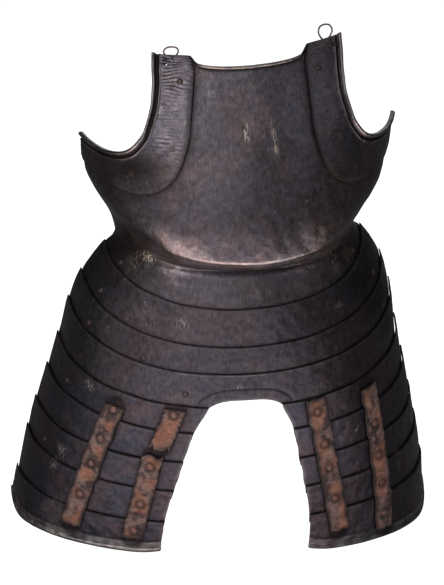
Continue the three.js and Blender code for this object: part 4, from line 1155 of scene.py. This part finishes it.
# %% The five straps
def strap(name, seed):
    """Columns run across and rows down. The ends are jagged, the sides wavy, and each rivet pulls it in."""
    top, bottom, _, _ = STRAPS[name]
    chance = np.random.default_rng(seed)
    across = np.concatenate([[-1, -0.95], np.linspace(-0.86, 0.86, 17), [0.95, 1]])
    length = (bottom - top) * TASSET_STATION
    down = steps(length, 0.6, 1.5)[:, None]
    jags = TORN.get(name, CUT_END)
    corners = np.linspace(-1, 1, 8)
    ragged = [jag * np.interp(across, corners, chance.uniform(-1, 1, 8)) / TASSET_STATION for jag in jags]
    at = lerp(top + ragged[0], bottom + ragged[1], down)
    middle = strap_around(name, at) + shear_wobble(down * 2, seed, 0.5) / TASSET_ROUND
    step = form_point(at, middle + 0.01) - form_point(at, middle - 0.01)
    millimetre = 0.02 / np.linalg.norm(step, axis=-1)
    narrow = 1 + 0.035 * shear_wobble(down * 2, seed + 1, 1.0)
    narrow = narrow + 0.012 * ripple(at[..., None] * [40, 0, 0], seed + 4, 9)
    around = middle + across * narrow * STRAP_WIDTH / 2 * millimetre
    base = form_point(at, around)

    lift = strap_lift(at) + 0.25 * ripple(base, seed + 2, 16) + 0.12 * ripple(base, seed + 3, 6)
    lift = lift + 0.5 * (1 - across**2)
    pulled = np.zeros_like(at)
    for place in STRAP_RIVETS[name]:
        centre = form_point(place, strap_around(name, place))
        pulled = np.maximum(pulled, np.exp(-((np.linalg.norm(base - centre, axis=-1) / 7.5) ** 2)))
    # A torn end curls away from the plate.
    torn_top, torn_bottom = (jag > TORN_END for jag in jags)
    curl = 1.6 * (1 - smoothstep(down, 0, 0.1)) * torn_top
    curl = curl + 4.5 * smoothstep(down, 0.78, 1) ** 2 * (1 + 0.5 * across) * torn_bottom
    lift = np.maximum(lift - 0.9 * pulled, strap_lift(at)) + curl
    frayed = [1 - smoothstep(share * length, 0, 6) for share in (down, 1 - down)]
    thin = 1 - 0.35 * frayed[0] - 0.35 * frayed[1]
    outer = lifted(at, around, lift + STRAP_WALL * thin)
    inner = lifted(at, around, lift)
    nearest = np.minimum.reduce(edge_distances(outer))
    # Painted shade: the dark rim along the strap's edges, partly its own darkened cut edge, and the dark ring
    # where each rivet pulls the leather in.
    values = {
        "edge": near(nearest, 2.0),
        "shade_and_dirt": 0.75 * np.exp(-(((pulled - 0.52) / 0.16) ** 2)),
        "rust": np.clip(0.2 + 0.9 * ripple(base, seed + 6, 34), 0, 1) * smoothstep(nearest, 1, 5),
    }
    piece = rounded_sheet("leather_" + name, outer, inner, values, bulge=0.9)
    settle(piece, STRAP_LEATHER, name)


for index, name in enumerate(STRAPS):
    strap(name, 200 + 17 * index)
print("strap faces", {name: len(PIECES[name].data.polygons) for name in STRAPS})

# %% [markdown]
# ## The rivets
#
# A rivet head is a low dome, struck a few times with the hammer, so its outline is not quite round. It sits
# on the real surface of its piece, which a ray from outside finds.

# %% Rivet heads
# Node of the plate, station, share of the way round.
PLATE_RIVETS = {
    "rivet_gusset_right": ("gusset_right", 2.49, -0.381),
    "rivet_gusset_left": ("gusset_left", 2.4, 0.378),
    "rivet_shoulder_left": ("gusset_left", 1.62, 0.545),
    "rivet_flange_right": ("breast_plate", 11.7, -0.774),
    "rivet_flange_left": ("breast_plate", 11.6, 0.73),
    "rivet_flange_front": ("breast_plate", 11.13, 0.313),
    "rivet_fauld_1_right": ("fauld_lame_1", 12.74, -0.784),
    "rivet_fauld_1_left": ("fauld_lame_1", 12.74, 0.784),
    "rivet_fauld_2_right": ("fauld_lame_2", 13.76, -0.756),
    "rivet_fauld_2_left": ("fauld_lame_2", 13.76, 0.756),
    "rivet_fauld_2_front": ("fauld_lame_2", 13.83, -0.416),
    "rivet_fauld_3_right": ("fauld_lame_3", 14.63, -0.216),
    "rivet_fauld_3_left": ("fauld_lame_3", 14.78, 0.305),
    "rivet_tasset_1_right": ("tasset_right_1", 15.65, -0.779),
    "rivet_tasset_1_left": ("tasset_left_1", 15.28, 0.697),
    "rivet_tasset_3_right": ("tasset_right_3", 17.69, -0.8),
    "rivet_tasset_3_left": ("tasset_left_3", 17.69, 0.8),
}
# Radius and height of a head.
PLATE_HEAD, STRAP_HEAD = (4.0, 2.0), (5.0, 2.3)


def ring_mesh(rings, start, end):
    """Points and triangles of a shape made of rings: two triangles for each step along and round, and a fan
    from the start point to the first ring and from the end point to the last."""
    spokes = rings.shape[1]
    points = np.concatenate([rings.reshape(-1, 3), [start], [end]])
    grid = np.arange(rings.shape[0] * spokes).reshape(-1, spokes)
    following = np.roll(grid, -1, axis=1)
    fan = np.full(spokes, grid.size)
    faces = [
        (grid[:-1], following[:-1], following[1:]), (grid[:-1], following[1:], grid[1:]),
        (following[0], grid[0], fan), (grid[-1], following[-1], fan + 1),
    ]
    return points, np.concatenate([np.stack(corners, -1).reshape(-1, 3) for corners in faces])


def surface_place(piece, at, around):
    """Where a ray towards the form meets a piece, in millimetres, and the way out of the piece there."""
    out = form_frame(at, around)[2]
    start = Vector(lifted(at, around, 20.0) * MILLIMETRE)
    hit, place, normal, _ = piece.ray_cast(start, Vector(-out))
    if not hit:
        raise ValueError(f"no surface of {piece.name} at {at}, {around}")
    return np.array(place) / MILLIMETRE, unit(0.5 * np.array(normal) + 0.5 * out)


def rivet(name, piece, at, around, head, material, seed):
    """Rings from the foot to the crown: the radius goes as the cosine, the height as the sine to the power
    0.8, and both stray by a few hundredths round the head."""
    place, out = surface_place(piece, at, around)
    radius, height = head
    chance = np.random.default_rng(seed)
    turn = np.linspace(0, 2 * np.pi, 28, endpoint=False)
    first, second, third = chance.uniform(0, 6, 3)
    stray = 1 + 0.05 * np.sin(2 * turn + first) + 0.03 * np.sin(3 * turn + second)
    climb = np.linspace(0, np.pi / 2, 9)[:-1, None]
    reach = radius * np.cos(climb) * stray
    rise = height * np.sin(climb) ** 0.8 * (1 + 0.08 * np.cos(turn + third) * np.cos(climb))
    side = unit(np.cross(out, [0.0, 0.0, 1.0]))
    up = np.cross(out, side)
    foot = place - 0.25 * out
    round_foot = reach[..., None] * (np.cos(turn)[:, None] * side + np.sin(turn)[:, None] * up)
    rings = foot + round_foot + rise[..., None] * out
    points, faces = ring_mesh(rings, foot, foot + height * out)
    # Lighter towards the crown: wear and painted highlight, with painted shade at the foot.
    shine = np.append(np.repeat(np.sin(climb) ** 1.2, len(turn)), [0, 1])
    dome = add_mesh("iron_" + name, points, faces, values={"crown": shine}, sharp=70)
    settle(dome, material, name)


bpy.context.view_layer.update()
for index, (name, (plate, at, around)) in enumerate(PLATE_RIVETS.items()):
    rivet(name, PIECES[plate], at, around, PLATE_HEAD, PLATE_IRON, 300 + index)
for index, (name, places) in enumerate(STRAP_RIVETS.items()):
    for count, at in enumerate(places):
        label, around = f"rivet_{name}_{count + 1}", float(strap_around(name, at))
        rivet(label, PIECES[name], at, around, STRAP_HEAD, RIVET_IRON, 400 + 10 * index + count)
print("rivets", len(PLATE_RIVETS) + sum(len(places) for places in STRAP_RIVETS.values()))

# %% [markdown]
# ## The wire loops
#
# A later keeper hung the piece up by two loops of iron wire. The ends come through the two holes to the
# front, and the loop stands up behind the shoulder. The wire is a round profile carried along a smooth curve.

# %% A smooth curve and a wire along it
def smooth_path(points, count):
    """A centripetal curve through the points: each span is a cubic whose end slopes weigh the neighbouring
    spans by the square root of their length."""
    ends = [2 * points[0] - points[1], *points, 2 * points[-1] - points[-2]]
    p0, p1, p2, p3 = (np.array(ends[k : len(ends) - 3 + k]) for k in range(4))
    gap = [np.sqrt(np.linalg.norm(b - a, axis=-1, keepdims=True)) for a, b in ((p0, p1), (p1, p2), (p2, p3))]
    start = ((p1 - p0) / gap[0] - (p2 - p0) / (gap[0] + gap[1]) + (p2 - p1) / gap[1]) * gap[1]
    end = ((p2 - p1) / gap[1] - (p3 - p1) / (gap[1] + gap[2]) + (p3 - p2) / gap[2]) * gap[1]
    t = np.linspace(0, 1, count, endpoint=False)[None, :, None]
    curve = hermite(t, *(values[:, None] for values in (p1, start, p2, end)))
    return np.concatenate([curve.reshape(-1, 3), [points[-1]]])


def wire(name, path, diameter, spokes=14):
    """A ring of points round each path point. Each ring's first direction is the last one's, less its share
    along the wire, so the rings don't twist."""
    ways = unit(np.gradient(path, axis=0))
    aside = [unit(np.cross(ways[0], [0.3, 0.2, 1.0]))]
    for way in ways[1:]:
        aside.append(unit(aside[-1] - way * (aside[-1] @ way)))
    aside = np.array(aside)
    other = np.cross(ways, aside)
    turn = np.linspace(0, 2 * np.pi, spokes, endpoint=False)[None, :, None]
    size = np.full((len(path), 1, 1), diameter / 2)
    size[[0, -1]] *= 0.7
    rings = path[:, None] + size * (np.cos(turn) * aside[:, None] + np.sin(turn) * other[:, None])
    points, faces = ring_mesh(rings, path[0], path[-1])
    return add_mesh(name, points, faces, values={"crown": np.full(len(points), 0.7)}, sharp=60)


# %% The two loops
WIRE = 2.2


def loop_half(half_width, height):
    """Across, up and out along one leg: in from the front, up behind the shoulder and over."""
    behind = -1.1 * WIRE
    leg = LOOP_SPACING / 2
    return [
        [leg, -LOOP_DROP, STACK + WIRE], [leg, -LOOP_DROP, STACK / 2], [leg, -LOOP_DROP, -0.3],
        [leg, -LOOP_DROP * 0.55, behind], [leg, 0, behind], [leg * 1.7, height * 0.14, behind * 0.6],
        [half_width, height * 0.5, 0.5], [half_width * 0.76, height * 0.86, 1], [0, height, 1],
    ]


for side, (around, half_width, height) in LOOPS.items():
    half = np.array(loop_half(half_width, height))
    offsets = np.concatenate([half, (half * [-1, 1, 1])[-2::-1]])
    path, _ = loop_points(around, offsets)
    piece = wire("wire_loop_" + side, smooth_path(path, 10), WIRE)
    settle(piece, LOOP_WIRE, "shoulder_loop_" + side)
print("loops", list(LOOPS))

# %% [markdown]
# ## The studio
#
# Dark metal shows what stands round it more than its own colour. The photograph has one big soft light high
# on the left, weaker ones in front and above, and little on the right, so the lights and the dim
# surroundings are set up the same way. The floor shows to the camera alone, and low lights stand in for the
# pale ground, which fills the tassets from below. The belly's underside mirrors a strip of ground close in
# front of it, so that strip is a light of its own, linked to the upper plates alone. A light behind shows
# the inside of the hollow.

# %% Floor, surroundings and lights
def studio_floor(height):
    """A pale square far larger than the view."""
    corners = np.array([[-12, -12], [12, -12], [12, 12], [-12, 12]])
    corners = np.insert(corners.astype(float), 2, height, axis=1) / MILLIMETRE
    floor = add_mesh("studio_floor", corners, np.array([[0, 1, 2, 3]]))
    material, tree = new_material("pale_paper")
    white = {"Emission Color": colour("#ffffff"), "Emission Strength": 0.9}
    shader = node(
        tree, "ShaderNodeBsdfPrincipled", {"Base Color": colour("#f4f3f1"), "Roughness": 0.9, **white}
    )
    node(tree, "ShaderNodeOutputMaterial", {"Surface": shader})
    floor.data.materials.append(material)
    floor.visible_glossy = False
    floor.visible_diffuse = False


def soft_light(name, place, aim, size, power, tint="#ffffff"):
    """A square area light turned towards a point, hidden from the camera."""
    light = bpy.data.lights.new(name, "AREA")
    light.size, light.energy = size, power
    light.color = colour(tint)[:3]
    lamp = bpy.data.objects.new(name, light)
    lamp.location = place
    lamp.rotation_euler = (Vector(aim) - Vector(place)).to_track_quat("-Z", "Y").to_euler()
    lamp.visible_camera = False
    bpy.context.scene.collection.objects.link(lamp)
    return lamp


studio_floor(-0.7)
AIM = (0, -0.06, -0.3)
# Place and aim in metres, side in metres, power in watts and tint.
soft_light("key", (-2.1, -2.1, 1.7), AIM, 0.8, 45, "#fffaf6")
soft_light("front", (-0.5, -3.2, 1.15), AIM, 2.2, 16)
soft_light("above", (-0.3, -1.6, 2.4), AIM, 1.4, 14)
soft_light("fill", (2.2, -2.2, 1.5), AIM, 1.6, 10, "#f4f4ff")
soft_light("behind", (0.8, 2.6, 1.2), AIM, 2.0, 18)
soft_light("side", (-2.4, -0.8, -0.3), (0, -0.1, -0.45), 1.5, 3)
soft_light("low", (-1.4, -2.4, -0.05), AIM, 1.7, 4.5, "#f8f8ff")
soft_light("bounce", (-0.3, -1.3, -0.66), (-0.3, -1.2, 0), 2.0, 14, "#fcfaff")
ground = soft_light("ground", (-0.1, -0.48, -0.68), (-0.1, -0.48, 0), 1.3, 19, "#fff0e0")
ground.rotation_euler = (math.pi, 0, 0)
ground.data.shape, ground.data.size_y = "RECTANGLE", 0.6
ground.light_linking.receiver_collection = bpy.data.collections.new("lit_by_ground")
for piece in [BREAST, *GUSSETS.values()]:
    ground.light_linking.receiver_collection.objects.link(piece)

world = bpy.data.worlds.new("dim_studio")
world.use_nodes = True
world.node_tree.nodes.clear()
dim = node(world.node_tree, "ShaderNodeBackground", {"Color": colour("#f2f2f2"), "Strength": 0.12})
seen = node(world.node_tree, "ShaderNodeBackground", {"Color": colour("#ffffff"), "Strength": 1.0})
straight = node(world.node_tree, "ShaderNodeLightPath", out="Is Camera Ray")
both = node(world.node_tree, "ShaderNodeMixShader", {0: straight, 1: dim, 2: seen})
node(world.node_tree, "ShaderNodeOutputWorld", {"Surface": both})
bpy.context.scene.world = world
bpy.context.scene.view_settings.view_transform = "Standard"

# %% [markdown]
# ## The camera
#
# The photograph looks a little down and from the piece's right side, through a long lens, so the hoops show
# as gentle curves and nothing is stretched.

# %% Camera at the photograph's angle
YAW, ELEVATION, DISTANCE = math.radians(8.5), math.radians(14), 6.0
TARGET = Vector((-0.024, -0.060, -0.312))
away = Vector((
    -math.sin(YAW) * math.cos(ELEVATION), -math.cos(YAW) * math.cos(ELEVATION), math.sin(ELEVATION),
))
lens = bpy.data.cameras.new("camera")
lens.sensor_fit = "VERTICAL"
lens.sensor_height = 24
lens.lens = 196.9
lens.clip_end = 60
camera = bpy.data.objects.new("camera", lens)
camera.location = TARGET + away * DISTANCE
camera.rotation_euler = (-away).to_track_quat("-Z", "Y").to_euler()
bpy.context.scene.collection.objects.link(camera)
bpy.context.scene.camera = camera
print("camera at", [round(v, 3) for v in camera.location])
